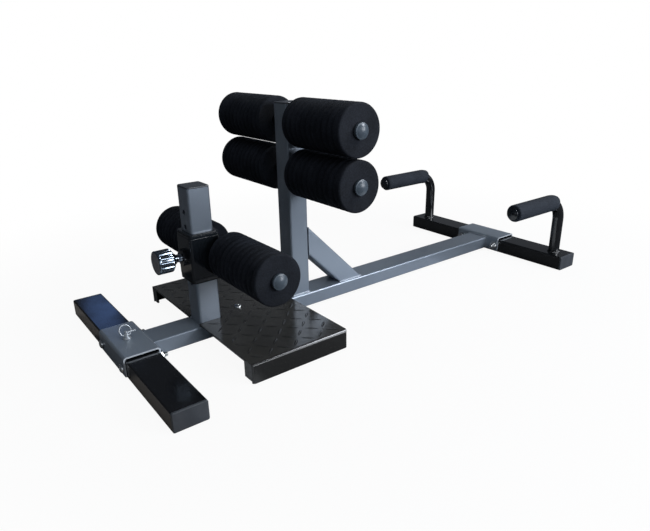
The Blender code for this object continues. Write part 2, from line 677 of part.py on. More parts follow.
def make_pop_pin():
    """The pull pin: weld nut, barrel and spring on the sleeve; plunger and knob that slide in them.

    It is built as pulled out, with the tip just short of the post, so that the carriage is free to slide.
    """
    axis = (0, 1, 0)
    wall = Vector((0, SLEEVE_FRONT, PIN_Z))
    flats = densify(hexagon(WELD_NUT_FLATS))
    bore = circle(BARREL_RADIUS + GAP, len(flats))
    u = Vector((1, 0, 0))
    v = Vector((0, 0, 1))
    steps = ((bore, GAP), (flats, GAP), (flats, WELD_NUT_DEPTH), (bore, WELD_NUT_DEPTH))
    rings = [place(outline, wall - Vector(axis) * distance, u, v) for outline, distance in steps]
    nut = skinned("pop_pin_nut", rings, "black_paint", wall, closed=True)

    front = -BARREL_FRONT
    stem_hole = PLUNGER_STEM + GAP
    barrel_profile = ((stem_hole, front), (BARREL_RADIUS - BARREL_CHAMFER, front),
                      (BARREL_RADIUS, front + BARREL_CHAMFER), (BARREL_RADIUS, BARREL_BACK),
                      (BARREL_BORE, BARREL_BACK), (BARREL_BORE, front + BARREL_LIP),
                      (stem_hole, front + BARREL_LIP))
    barrel = turned("pop_pin_barrel", barrel_profile, axis, wall, 14, "chrome")

    post_face = POST_HALF - SLEEVE_SIZE / 2
    tip = -post_face - GAP
    shoulder = tip - PLUNGER_SHOULDER
    plunger_profile = ((PLUNGER_STEM, -KNOB_BACK - STEM_LENGTH), (PLUNGER_STEM, shoulder - PLUNGER_SLOPE),
                       (PLUNGER_TIP, shoulder), (PLUNGER_TIP, tip - PLUNGER_TAPER),
                       (PLUNGER_TIP - PLUNGER_TAPER_IN, tip))
    plunger = turned("pop_pin_plunger", plunger_profile, axis, wall, 12, "chrome", closed=False)
    return [nut, barrel, make_spring(wall, tip)], [plunger, make_knob(wall)]


def make_knob(wall):
    """The fluted knob: flat front, fluted grip, and a chamfered back with a recess for the barrel."""
    count = KNOB_FLUTES * 2
    u = Vector((1, 0, 0))
    v = Vector((0, 0, 1))

    def fluted(radius):
        points = []
        for i, (a, b) in enumerate(circle(1.0, count)):
            r = radius - KNOB_FLUTE_DEPTH * (i % 2)
            points.append((r * a, r * b))
        return points

    front = KNOB_BACK + KNOB_LENGTH
    bore = circle(PLUNGER_STEM + GAP, count)
    recess = circle(BARREL_RADIUS + 2 * GAP, count)
    back = circle(KNOB_BACK_RADIUS, count)
    grip = fluted(KNOB_RADIUS)
    steps = ((bore, KNOB_BACK + STEM_LENGTH + KNOB_EDGE), (bore, KNOB_BACK + KNOB_RECESS),
             (recess, KNOB_BACK + KNOB_RECESS), (recess, KNOB_BACK), (back, KNOB_BACK),
             (fluted(KNOB_RADIUS - KNOB_EDGE), KNOB_BACK + KNOB_SLOPE), (grip, KNOB_BACK + KNOB_GRIP_START),
             (grip, front - KNOB_GRIP_END), (circle(KNOB_RADIUS, count), front - KNOB_RIM),
             (circle(KNOB_RADIUS - KNOB_EDGE, count), front))
    rings = [place(outline, wall + Vector((0, -distance, 0)), u, v) for outline, distance in steps]
    return skinned("pop_pin_knob", rings, "chrome", wall)


def make_spring(wall, tip):
    """The spring between the barrel's front lip and the plunger's shoulder."""
    start = -BARREL_FRONT + BARREL_LIP + SPRING_WIRE + GAP
    end = tip - PLUNGER_SHOULDER - PLUNGER_SLOPE - SPRING_WIRE - GAP
    per_turn = 6
    count = SPRING_TURNS * per_turn
    rings = []
    for i in range(count + 1):
        angle = 2 * math.pi * i / per_turn
        outward = Vector((math.cos(angle), 0, math.sin(angle)))
        centre = wall + outward * SPRING_RADIUS + Vector((0, start + (end - start) * i / count, 0))
        rings.append(place(circle(SPRING_WIRE / 2, 4), centre, outward, Vector((0, 1, 0))))
    return skinned("pop_pin_spring", rings, "spring_steel", wall)


def make_roller(name, side, inner, outer, radius, y, z):
    """A ribbed foam roller on its bar, from an inner to an outer distance across the machine."""
    first = inner + ROLLER_RIB_START
    profile = [(ROLLER_BORE, inner), (radius - ROLLER_EDGE, inner), (radius, inner + ROLLER_EDGE)]
    for rib in range(ROLLER_RIBS):
        x = first + rib * ROLLER_RIB_PITCH
        profile += [(radius, x - ROLLER_GROOVE_WIDTH / 2), (radius - ROLLER_GROOVE_DEPTH, x),
                    (radius, x + ROLLER_GROOVE_WIDTH / 2)]
    profile += [(radius, outer - ROLLER_EDGE), (radius - ROLLER_EDGE, outer), (ROLLER_BORE, outer)]
    centre = (0, y, z)
    return turned(name, profile, (side, 0, 0), centre, ROLLER_SIDES, "black_foam", at=(side * inner, y, z))


def make_plug(name, at, outward, tube_bore):
    """A domed end plug: a round head and a hollow stem inside the tube."""
    stem = tube_bore - 2 * GAP
    profile = []
    for angle in (math.radians(72), math.radians(45), math.radians(20)):
        profile.append((PLUG_RADIUS * math.cos(angle), PLUG_RIM + (PLUG_DOME - PLUG_RIM) * math.sin(angle)))
    profile += [(PLUG_RADIUS, GAP), (stem, GAP), (stem, -PLUG_INSERT), (stem - PLUG_WALL, -PLUG_INSERT),
                (stem - PLUG_WALL, -PLUG_WALL)]
    return turned(name, profile, outward, at, 12, "grey_plastic", closed=False)


def make_roller_set(label, y, z, inner, outer, radius):
    """One roller bar with a foam roller and an end plug on each side."""
    bore = ROLLER_BAR_RADIUS - ROLLER_BAR_WALL
    profile = ((bore, -outer), (ROLLER_BAR_RADIUS, -outer), (ROLLER_BAR_RADIUS, outer), (bore, outer))
    bar = turned(f"{label}_roller_bar", profile, (1, 0, 0), (0, y, z), 20, "black_paint")
    rollers = []
    fixed = [bar]
    for word, side in SIDES.items():
        rollers.append(make_roller(f"{label}_roller_{word}", side, inner, outer - GAP, radius, y, z))
        fixed.append(make_plug(f"{label}_roller_plug_{word}", (side * outer, y, z), (side, 0, 0), bore))
    return fixed, rollers


def handle_bend(x, angles):
    """Returns (point, direction) pairs of a handle's bend; the angle is 0 at its foot."""
    centre = Vector((x, REAR_Y - HANDLE_BEND, HANDLE_Z - HANDLE_BEND))
    stations = []
    for angle in angles:
        outward = Vector((0, math.cos(angle), math.sin(angle)))
        stations.append((centre + outward * HANDLE_BEND, Vector((0, -math.sin(angle), math.cos(angle)))))
    return stations


def swept_tube(name, stations, radius, bore, sides, material, at):
    """Makes a round tube along (point, direction) pairs that lie in one upright plane."""
    across = Vector((1, 0, 0))
    outer = [place(circle(radius, sides), point, across, d.cross(across)) for point, d in stations]
    inner = [place(circle(bore, sides), point, across, d.cross(across)) for point, d in reversed(stations)]
    return skinned(name, outer + inner, material, at, closed=True)


def make_handle(word):
    """A push-up handle: a bent tube on the rear foot bar, its foam grip and its end plug."""
    x = SIDES[word] * HANDLE_X
    forward = Vector((0, -1, 0))
    foot = (Vector((x, REAR_Y, FOOT_BAR_HEIGHT + GAP)), Vector((0, 0, 1)))
    open_end = math.pi / 2 - GRIP_WRAP
    covered = [open_end, open_end + GRIP_WRAP / 2, math.pi / 2]
    bend = handle_bend(x, [open_end * step / 4 for step in range(4)] + covered)
    mouth = (Vector((x, HANDLE_FRONT, HANDLE_Z)), forward)
    bore = HANDLE_RADIUS - HANDLE_WALL
    handle = swept_tube(f"handle_{word}", [foot] + bend + [mouth], HANDLE_RADIUS, bore, 12, "black_paint",
                        (x, REAR_Y, FOOT_BAR_HEIGHT))
    wrap = handle_bend(x, covered)
    grip_front = HANDLE_FRONT + GAP
    wrap.append((Vector((x, grip_front, HANDLE_Z)), forward))
    grip = swept_tube(f"handle_grip_{word}", wrap, GRIP_RADIUS, GRIP_BORE, 18, "black_foam",
                      (x, grip_front, HANDLE_Z))
    return [handle, grip, make_plug(f"handle_plug_{word}", (x, HANDLE_FRONT, HANDLE_Z), forward, bore)]


def main():
    """Builds the machine from its feet up."""
    clear_scene()
    machine = joint_empty("machine", (0, 0, 0))
    fixed = [make_beam()]
    for label, y, length in (("front", FRONT_Y, FRONT_BAR_LENGTH), ("rear", REAR_Y, REAR_BAR_LENGTH)):
        fixed += make_foot(label, y, length)
        fixed.append(make_bracket(label, y))
        inward = 1 if label == "front" else -1
        for word in SIDES:
            fixed += make_bracket_bolt(label, word, y, inward)
    lock_pin = make_lock_pin()
    ring = make_pull_ring()

    short_post, short_cap = make_post("short_post", SHORT_POST_Y, SHORT_POST_TOP)
    drill_pin_holes(short_post)
    tall_post, tall_cap = make_post("tall_post", TALL_POST_Y, TALL_POST_TOP)
    for z in LEG_BAR_HEIGHTS.values():
        hole_ends = [(side * (POST_HALF + TOOL_REACH), TALL_POST_Y, z) for side in (-1, 1)]
        combine(tall_post, rod(ROLLER_BAR_RADIUS + GAP, *hole_ends, 20), "DIFFERENCE")
    fixed += [short_post, short_cap, tall_post, tall_cap, make_brace(), make_foot_plate(), make_plate_screw()]

    carriage = joint_empty("carriage", (0, SHORT_POST_Y, PIN_Z))
    housing, sliding = make_pop_pin()
    riders = [make_sleeve()]
    riders.append(make_bushing("sleeve_bushing_top", SLEEVE_TOP, 1, COLLAR_TOP))
    riders.append(make_bushing("sleeve_bushing_bottom", SLEEVE_BOTTOM, -1, COLLAR_BOTTOM))
    ankle_fixed, ankle_rollers = make_roller_set("ankle", ANKLE_BAR_Y, ANKLE_BAR_Z, ANKLE_ROLLER_INNER,
                                                 ANKLE_ROLLER_OUTER, ANKLE_ROLLER_RADIUS)
    riders += housing + ankle_fixed
    pull = joint_empty("pull_pin", (0, SLEEVE_FRONT, PIN_Z))
    for item in sliding:
        hang(item, pull)
    hang(pull, carriage)
    for item in riders + ankle_rollers:
        hang(item, carriage)

    for label, z in LEG_BAR_HEIGHTS.items():
        bar_parts, rollers = make_roller_set(label, TALL_POST_Y, z, LEG_ROLLER_INNER, LEG_ROLLER_OUTER,
                                             LEG_ROLLER_RADIUS)
        fixed += bar_parts + rollers
    for word in SIDES:
        fixed += make_handle(word)

    hang(ring, lock_pin)
    for item in fixed + [lock_pin, carriage]:
        hang(item, machine)


main()
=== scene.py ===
"""Dresses the sissy squat machine: finishes, foam, tread, welds, small metalware, light and camera.

Everything is in metres and in the frame's own axes: X across the machine, Y along it towards the
push-up handles, Z up from the floor. Rigid nodes whose shape is right stay and get softened edges
and a finish. Foam, turned parts, bent tubes, bolts, the tread and the welds are made here.
"""

import logging
import math
from dataclasses import dataclass
from enum import Enum

import bmesh
import bpy
from mathutils import Matrix, Vector


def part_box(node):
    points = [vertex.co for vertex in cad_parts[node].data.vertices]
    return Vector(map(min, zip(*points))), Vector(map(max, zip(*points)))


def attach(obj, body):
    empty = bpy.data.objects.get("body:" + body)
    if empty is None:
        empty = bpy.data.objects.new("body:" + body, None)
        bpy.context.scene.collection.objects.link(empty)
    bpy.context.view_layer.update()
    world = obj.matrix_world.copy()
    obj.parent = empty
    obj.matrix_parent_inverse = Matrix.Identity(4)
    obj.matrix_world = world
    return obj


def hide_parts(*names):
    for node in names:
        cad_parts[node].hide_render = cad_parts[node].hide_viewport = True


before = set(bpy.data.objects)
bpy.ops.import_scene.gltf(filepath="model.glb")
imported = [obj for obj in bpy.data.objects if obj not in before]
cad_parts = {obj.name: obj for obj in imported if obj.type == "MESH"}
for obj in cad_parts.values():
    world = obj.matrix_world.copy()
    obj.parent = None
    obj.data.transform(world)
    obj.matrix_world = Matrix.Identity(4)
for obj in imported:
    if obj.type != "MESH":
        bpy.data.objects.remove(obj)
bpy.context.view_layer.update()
log = logging.getLogger("squat_machine")

Pair = tuple[float, float]
Point = tuple[float, float, float]
Colour = tuple[float, float, float]
Station = tuple[Vector, Vector, float]
Ring = list[bmesh.types.BMVert]
Socket = bpy.types.NodeSocket
Sockets = bpy.types.bpy_prop_collection

NUMBER = "NodeSocketFloat"
WHOLE = "NodeSocketInt"
VECTOR = "NodeSocketVector"
GEOMETRY = "NodeSocketGeometry"

SIDES: dict[str, int] = {"left": -1, "right": 1}
ENDS: dict[str, int] = {"front": -1, "rear": 1}
FOOT_BAR_Y = 0.517
BRACKET_REACH = 0.0336
HANDLE_X = 0.2155
SHORT_POST_Y = -0.362
TALL_POST_Y = -0.145
POST_HALF = 0.0225


class Slot(Enum):
    """The material slots of the record that pieces take their finish from."""

    GREY_PAINT = "grey_paint"
    BLACK_PAINT = "black_paint"
    TREAD = "tread_black"
    FOAM = "black_foam"
    BLACK_PLASTIC = "black_plastic"
    GREY_PLASTIC = "grey_plastic"
    ZINC = "zinc"
    CHROME = "chrome"
    SPRING = "spring_steel"


# Node boards


class NodeBoard:
    """Adds nodes to a shader, geometry or world tree and links them in short calls."""

    def __init__(self, tree: bpy.types.NodeTree) -> None:
        """Holds the tree that nodes are added to.

        Args:
            tree: the node tree.
        """
        self.tree = tree

    def add(self, kind: str, settings: dict | None = None, **inputs: object) -> bpy.types.Node:
        """Adds a node, with its settings and its inputs.

        Args:
            kind: the node's Blender type name.
            settings: attributes of the node.
            inputs: values or sockets for inputs, by name with _ for a space, or by index as i0, i1.

        Returns:
            The new node.
        """
        node = self.tree.nodes.new(kind)
        for key, value in (settings or {}).items():
            setattr(node, key, value)
        for key, value in inputs.items():
            is_index = key[0] == "i" and key[1:].isdigit()
            socket = node.inputs[int(key[1:])] if is_index else node.inputs[key.replace("_", " ")]
            if isinstance(value, Socket):
                self.link(value, socket)
            else:
                socket.default_value = value
        return node

    def link(self, source: Socket, target: Socket) -> None:
        """Links an output to an input."""
        self.tree.links.new(source, target)

    def maths(self, operation: str, *values: float | Socket) -> Socket:
        """Adds a Math node.

        Args:
            operation: the operation's name.
            values: numbers or sockets.

        Returns:
            The node's output.
        """
        inputs = {f"i{index}": value for index, value in enumerate(values)}
        return self.add("ShaderNodeMath", {"operation": operation}, **inputs).outputs[0]

    def length(self, vector: Socket) -> Socket:
        """Returns a vector's length."""
        return self.add("ShaderNodeVectorMath", {"operation": "LENGTH"}, i0=vector).outputs[1]

    def split(self, vector: Socket) -> Sockets:
        """Returns a vector's X, Y and Z."""
        return self.add("ShaderNodeSeparateXYZ", i0=vector).outputs

    def join(self, x: float | Socket, y: float | Socket, z: float | Socket) -> Socket:
        """Returns a vector made from its X, Y and Z."""
        return self.add("ShaderNodeCombineXYZ", i0=x, i1=y, i2=z).outputs[0]

    def where(self) -> Socket:
        """Returns the place on the object, for a pattern of a material."""
        return self.add("ShaderNodeTexCoord").outputs["Object"]

    def facing(self) -> Sockets:
        """Returns the X, Y and Z of the way that the surface faces."""
        return self.split(self.add("ShaderNodeNewGeometry").outputs["Normal"])

    def noise(self, where: Socket, scale: float | Socket, detail: float, roughness: float = 0.5) -> Socket:
        """Adds a noise pattern.

        Args:
            where: the coordinates that it is laid on.
            scale: how fine it is.
            detail: how many finer layers it has.
            roughness: how strong those are.

        Returns:
            The noise, about 0.5.
        """
        return self.add("ShaderNodeTexNoise", Vector=where, Scale=scale, Detail=detail,
                        Roughness=roughness).outputs[0]

    def ramp(self, value: Socket, low: float | Socket, high: float | Socket, to_low: float = 0.0,
             to_high: float = 1.0, smooth: bool = True) -> Socket:
        """Maps a value from one range to another, clamped.

        Args:
            value: the socket to map.
            low: the input range's start, a number or a socket.
            high: the input range's end, a number or a socket.
            to_low: the value at the start.
            to_high: the value at the end.
            smooth: eased instead of straight.

        Returns:
            The mapped value.
        """
        kind = "SMOOTHSTEP" if smooth else "LINEAR"
        node = self.add("ShaderNodeMapRange", {"interpolation_type": kind}, i0=value, i1=low, i2=high,
                        i3=to_low, i4=to_high)
        return node.outputs[0]

    def mix(self, mask: Socket, under: Colour | Socket, over: Colour) -> Socket:
        """Lays a colour over another by a mask.

        Args:
            mask: 0 for the colour below, 1 for the colour laid on it.
            under: the colour below, or a socket that gives it.
            over: the colour laid on it.

        Returns:
            The mixed colour.
        """
        below = under if isinstance(under, Socket) else (*under, 1.0)
        node = self.add("ShaderNodeMix", {"data_type": "RGBA"}, Factor=mask, i6=below, i7=(*over, 1.0))
        return node.outputs[2]

    def group(self, tree: bpy.types.NodeTree, **inputs: float) -> Sockets:
        """Places a shader group with its own values and returns its outputs."""
        return self.add("ShaderNodeGroup", {"node_tree": tree}, **inputs).outputs


class GroupBoard(NodeBoard):
    """A new node group with named inputs and outputs."""

    def __init__(self, name: str, kind: str, inputs: dict[str, tuple[str, object]],
                 outputs: dict[str, str]) -> None:
        """Makes the empty group.

        Args:
            name: the group's name.
            kind: the tree's type.
            inputs: socket name to its type and default value.
            outputs: socket name to its type.
        """
        super().__init__(bpy.data.node_groups.new(name, kind))
        for label, (socket_type, default) in inputs.items():
            socket = self.tree.interface.new_socket(label, in_out="INPUT", socket_type=socket_type)
            if default is not None:
                socket.default_value = default
        for label, socket_type in outputs.items():
            self.tree.interface.new_socket(label, in_out="OUTPUT", socket_type=socket_type)
        self.given = self.add("NodeGroupInput").outputs
        self.result = self.add("NodeGroupOutput").inputs


class MaterialBoard(NodeBoard):
    """A new material, whose own Principled shader it feeds."""

    def __init__(self, name: str) -> None:
        """Makes the material.

        Args:
            name: the material's name.
        """
        self.material = bpy.data.materials.new(name)
        self.material.use_nodes = True
        super().__init__(self.material.node_tree)
        self.shader = self.tree.nodes["Principled BSDF"].inputs

    def complete(self, colour: Socket, roughness: Socket, height: Socket, relief: float, depth: float,
                 **plain: float) -> bpy.types.Material:
        """Feeds the shader.

        Args:
            colour: the base colour.
            roughness: the roughness.
            height: the height of the relief.
            relief: how strong the relief is.
            depth: how deep the relief is.
            plain: values that are the same all over, set on the shader's sockets, with _ for a space.

        Returns:
            The material.
        """
        bump = self.add("ShaderNodeBump", Strength=relief, Distance=depth, Height=height)
        self.link(colour, self.shader["Base Color"])
        self.link(roughness, self.shader["Roughness"])
        self.link(bump.outputs[0], self.shader["Normal"])
        for key, value in plain.items():
            self.shader[key.replace("_", " ")].default_value = value
        return self.material


# Shader groups


class Effects:
    """The surface effects that several finishes share, each a shader group."""

    def __init__(self) -> None:
        """Builds every group once."""
        self.grain = self.make_grain()
        self.marks = self.make_marks()
        self.up_film = self.make_up_film()

    @staticmethod
    def make_grain() -> bpy.types.NodeTree:
        """Makes a fine even grain.

        Returns:
            The group, which puts out a height and a slow mottle.
        """
        board = GroupBoard("surface_grain", "ShaderNodeTree",
                           {"Scale": (NUMBER, 900.0), "Mottle Scale": (NUMBER, 14.0)},
                           {"Height": NUMBER, "Mottle": NUMBER})
        where = board.where()
        slow = board.noise(where, board.given["Mottle Scale"], 4.0, 0.55)
        board.link(board.noise(where, board.given["Scale"], 3.0, 0.6), board.result["Height"])
        board.link(board.ramp(slow, 0.3, 0.7), board.result["Mottle"])
        return board.tree

    @staticmethod
    def make_marks() -> bpy.types.NodeTree:
        """Makes faint handling marks.

        Returns:
            The group, which puts out thin short scratches and rubbed patches.
        """
        board = GroupBoard("handling_marks", "ShaderNodeTree",
                           {"Scale": (NUMBER, 60.0), "Amount": (NUMBER, 0.5)},
                           {"Scratches": NUMBER, "Rubbed": NUMBER})
        where = board.where()
        found = []
        for turn in (0.5, 2.1):
            laid = board.add("ShaderNodeMapping", Vector=where, Rotation=(turn, turn * 0.7, turn * 1.3),
                             Scale=(1.0, 14.0, 14.0))
            lines = board.noise(laid.outputs[0], board.given["Scale"], 2.0)
            found.append(board.ramp(lines, 0.68, 0.74))
        rubbed = board.ramp(board.noise(where, 9.0, 5.0, 0.65), 0.5, 0.75)
        for name, mark in (("Scratches", board.maths("MAXIMUM", *found)), ("Rubbed", rubbed)):
            board.link(board.maths("MULTIPLY", mark, board.given["Amount"]), board.result[name])
        return board.tree

    @staticmethod
    def make_up_film() -> bpy.types.NodeTree:
        """Makes a thin uneven film on what faces up: real dust on most paints, and on the tread plate painted
        light on the flat top, which leaves the lozenge slopes dark as painted shade.

        Returns:
            The group, which puts out the film's mask.
        """
        board = GroupBoard("settled_dust", "ShaderNodeTree",
                           {"Amount": (NUMBER, 0.2), "Steepest": (NUMBER, 0.5), "Evenness": (NUMBER, 0.0)},
                           {"Mask": NUMBER})
        level = board.ramp(board.facing()[2], board.given["Steepest"], 1.0)
        patchy = board.ramp(board.noise(board.where(), 35.0, 6.0, 0.7), 0.30, 0.65)
        film = board.maths("MULTIPLY", level, board.maths("MAXIMUM", patchy, board.given["Evenness"]))
        board.link(board.maths("MULTIPLY", film, board.given["Amount"]), board.result["Mask"])
        return board.tree


# Finishes


@dataclass(frozen=True)
class Paint:
    """Sprayed and baked paint on steel: even colour, orange peel, faint scratches, a film on what faces up
    that is dust on most paints and painted light and shade on the tread plate, and, where a rim colour is
    given, a painted highlight on faces that point along X.
    """

    name: str
    colour: Colour
    worn: Colour
    roughness: float = 0.3
    metallic: float = 0.0
    specular: float = 0.5
    coat: float = 0.0
    coat_roughness: float = 0.12
    peel: float = 0.05
    peel_scale: float = 420.0
    peel_depth: float = 0.0004
    mottle_scale: float = 11.0
    scratch_scale: float = 55.0
    scratches: float = 0.35
    drift: float = 0.08
    rubbing: float = 0.15
    # The film on what faces up: real dust on most paints; on the tread plate, painted light on the flat top
    # that leaves the lozenge slopes dark as painted shade.
    dust_and_light: float = 0.06
    dust_and_light_from: float = 0.5
    dust_evenness: float = 0.0
    # A near-white colour on faces that point along X: a painted highlight on the brackets' rims.
    rim_highlight: Colour | None = None

    def make(self, effects: Effects) -> bpy.types.Material:
        """Builds the material.

        Args:
            effects: the shared groups.

        Returns:
            The material.
        """
        board = MaterialBoard(self.name)
        grain = board.group(effects.grain, Scale=self.peel_scale, Mottle_Scale=self.mottle_scale)
        marks = board.group(effects.marks, Scale=self.scratch_scale, Amount=self.scratches)
        dust_and_light = board.group(effects.up_film, Amount=self.dust_and_light, Steepest=self.dust_and_light_from,
                           Evenness=self.dust_evenness)
        # The mask takes the scratches and the up-facing film: dust, and on the tread plate painted light and
        # shade.
        mask = board.maths("MAXIMUM", marks["Scratches"], dust_and_light["Mask"])
        colour = board.mix(mask, self.colour, self.worn)
        # Painted highlight: faces that point along X take the near-white rim colour.
        if self.rim_highlight:
            sideways = board.maths("ABSOLUTE", board.facing()[0])
            colour = board.mix(board.ramp(sideways, 0.80, 0.97), colour, self.rim_highlight)
        uneven = board.maths("MULTIPLY_ADD", grain["Mottle"], self.drift, self.roughness - self.drift / 2)
        rubbed = board.maths("MULTIPLY_ADD", marks["Rubbed"], self.rubbing, uneven)
        return board.complete(colour, rubbed, grain["Height"], self.peel, self.peel_depth,
                              Metallic=self.metallic, Specular_IOR_Level=self.specular,
                              Coat_Weight=self.coat, Coat_Roughness=self.coat_roughness)


@dataclass(frozen=True)
class Foam:
    """Closed cell foam: matt, with a skin of fine cells, pits and slow colour drift."""

    name: str
    colour: Colour
    rubbed: Colour
    roughness: float = 0.92
    specular: float = 0.18
    cell: float = 1500.0
    pit_share: float = 0.6
    fleck: float = 420.0
    fleck_share: float = 0.35
    mottle_scale: float = 22.0
    mottle_share: float = 0.35
    least_rubbed: float = 0.13
    drift: float = 0.12
    smoother: float = 0.08
    relief: float = 0.35
    relief_depth: float = 0.0006

    def make(self, effects: Effects) -> bpy.types.Material:
        """Builds the material.

        Args:
            effects: the shared groups.

        Returns:
            The material.
        """
        board = MaterialBoard(self.name)
        grain = board.group(effects.grain, Scale=self.cell * 0.5, Mottle_Scale=self.mottle_scale)
        where = board.where()
        cells = board.add("ShaderNodeTexVoronoi", Vector=where, Scale=self.cell)
        pits = board.ramp(cells.outputs["Distance"], 0.05, 0.55)
        height = board.maths("MULTIPLY_ADD", pits, self.pit_share, grain["Height"])
        flecks = board.ramp(board.noise(where, self.fleck, 2.0, 0.7), 0.40, 0.66)
        flecked = board.maths("MULTIPLY_ADD", flecks, self.fleck_share, self.least_rubbed)
        shade = board.maths("MULTIPLY_ADD", grain["Mottle"], self.mottle_share, flecked)
        rough = board.maths("MULTIPLY_ADD", grain["Height"], self.drift, self.roughness - self.smoother)
        return board.complete(board.mix(shade, self.colour, self.rubbed), rough, height, self.relief,
                              self.relief_depth, Specular_IOR_Level=self.specular)


@dataclass(frozen=True)
class Moulded:
    """Injection moulded plastic with a fine spark-eroded grain."""

    name: str
    colour: Colour
    pale: Colour
    roughness: float = 0.42
    specular: float = 0.4
    grain_scale: float = 1100.0
    mottle_scale: float = 40.0
    mottle_share: float = 0.3
    scratch_scale: float = 90.0
    scratches: float = 0.3
    drift: float = 0.16
    relief: float = 0.12
    relief_depth: float = 0.0003

    def make(self, effects: Effects) -> bpy.types.Material:
        """Builds the material.

        Args:
            effects: the shared groups.

        Returns:
            The material.
        """
        board = MaterialBoard(self.name)
        grain = board.group(effects.grain, Scale=self.grain_scale, Mottle_Scale=self.mottle_scale)
        marks = board.group(effects.marks, Scale=self.scratch_scale, Amount=self.scratches)
        mask = board.maths("MULTIPLY_ADD", grain["Mottle"], self.mottle_share, marks["Scratches"])
        rough = board.maths("MULTIPLY_ADD", grain["Height"], self.drift, self.roughness - self.drift / 2)
        return board.complete(board.mix(mask, self.colour, self.pale), rough, grain["Height"], self.relief,
                              self.relief_depth, Specular_IOR_Level=self.specular)


@dataclass(frozen=True)
class Plated:
    """Plated metal: bright, with drifting tarnish and hairline scratches."""

    name: str
    colour: Colour
    tarnish: Colour
    roughness: float = 0.2
    metallic: float = 1.0
    drift: float = 0.12
    grain_scale: float = 700.0
    mottle_scale: float = 60.0
    mottle_share: float = 0.45
    scratch_scale: float = 160.0
    scratches: float = 0.6
    scratch_dulling: float = 0.2
    relief: float = 0.04
    relief_depth: float = 0.0002

    def make(self, effects: Effects) -> bpy.types.Material:
        """Builds the material.

        Args:
            effects: the shared groups.

        Returns:
            The material.
        """
        board = MaterialBoard(self.name)
        grain = board.group(effects.grain, Scale=self.grain_scale, Mottle_Scale=self.mottle_scale)
        marks = board.group(effects.marks, Scale=self.scratch_scale, Amount=self.scratches)
        mask = board.maths("MULTIPLY_ADD", grain["Mottle"], self.mottle_share, marks["Rubbed"])
        rough = board.maths("MULTIPLY_ADD", mask, self.drift, self.roughness)
        scratched = board.maths("MULTIPLY_ADD", marks["Scratches"], self.scratch_dulling, rough)
        return board.complete(board.mix(mask, self.colour, self.tarnish), scratched, grain["Height"],
                              self.relief, self.relief_depth, Metallic=self.metallic)


GREY_WORN: Colour = (0.40, 0.44, 0.48)
BLACK_WORN: Colour = (0.040, 0.043, 0.048)


def grey_paint(name: str, colour: Colour, rim_highlight: Colour | None = None) -> Paint:
    """Returns the frame's silver grey paint in one colour. The lighter colours for the brackets and the brace
    stand in for more light on them, and a rim colour, where given, is a painted highlight.
    """
    return Paint(name, colour, GREY_WORN, roughness=0.36, metallic=0.35, coat=0.5, dust_and_light=0.04,
                 rim_highlight=rim_highlight)


def black_paint(name: str, colour: Colour) -> Paint:
    """Returns the tubes' black gloss paint in one colour; the sleeve's lighter, bluer colour is a painted
    reflection.
    """
    return Paint(name, colour, BLACK_WORN, roughness=0.13, specular=0.8, peel=0.04, dust_and_light=0.02)


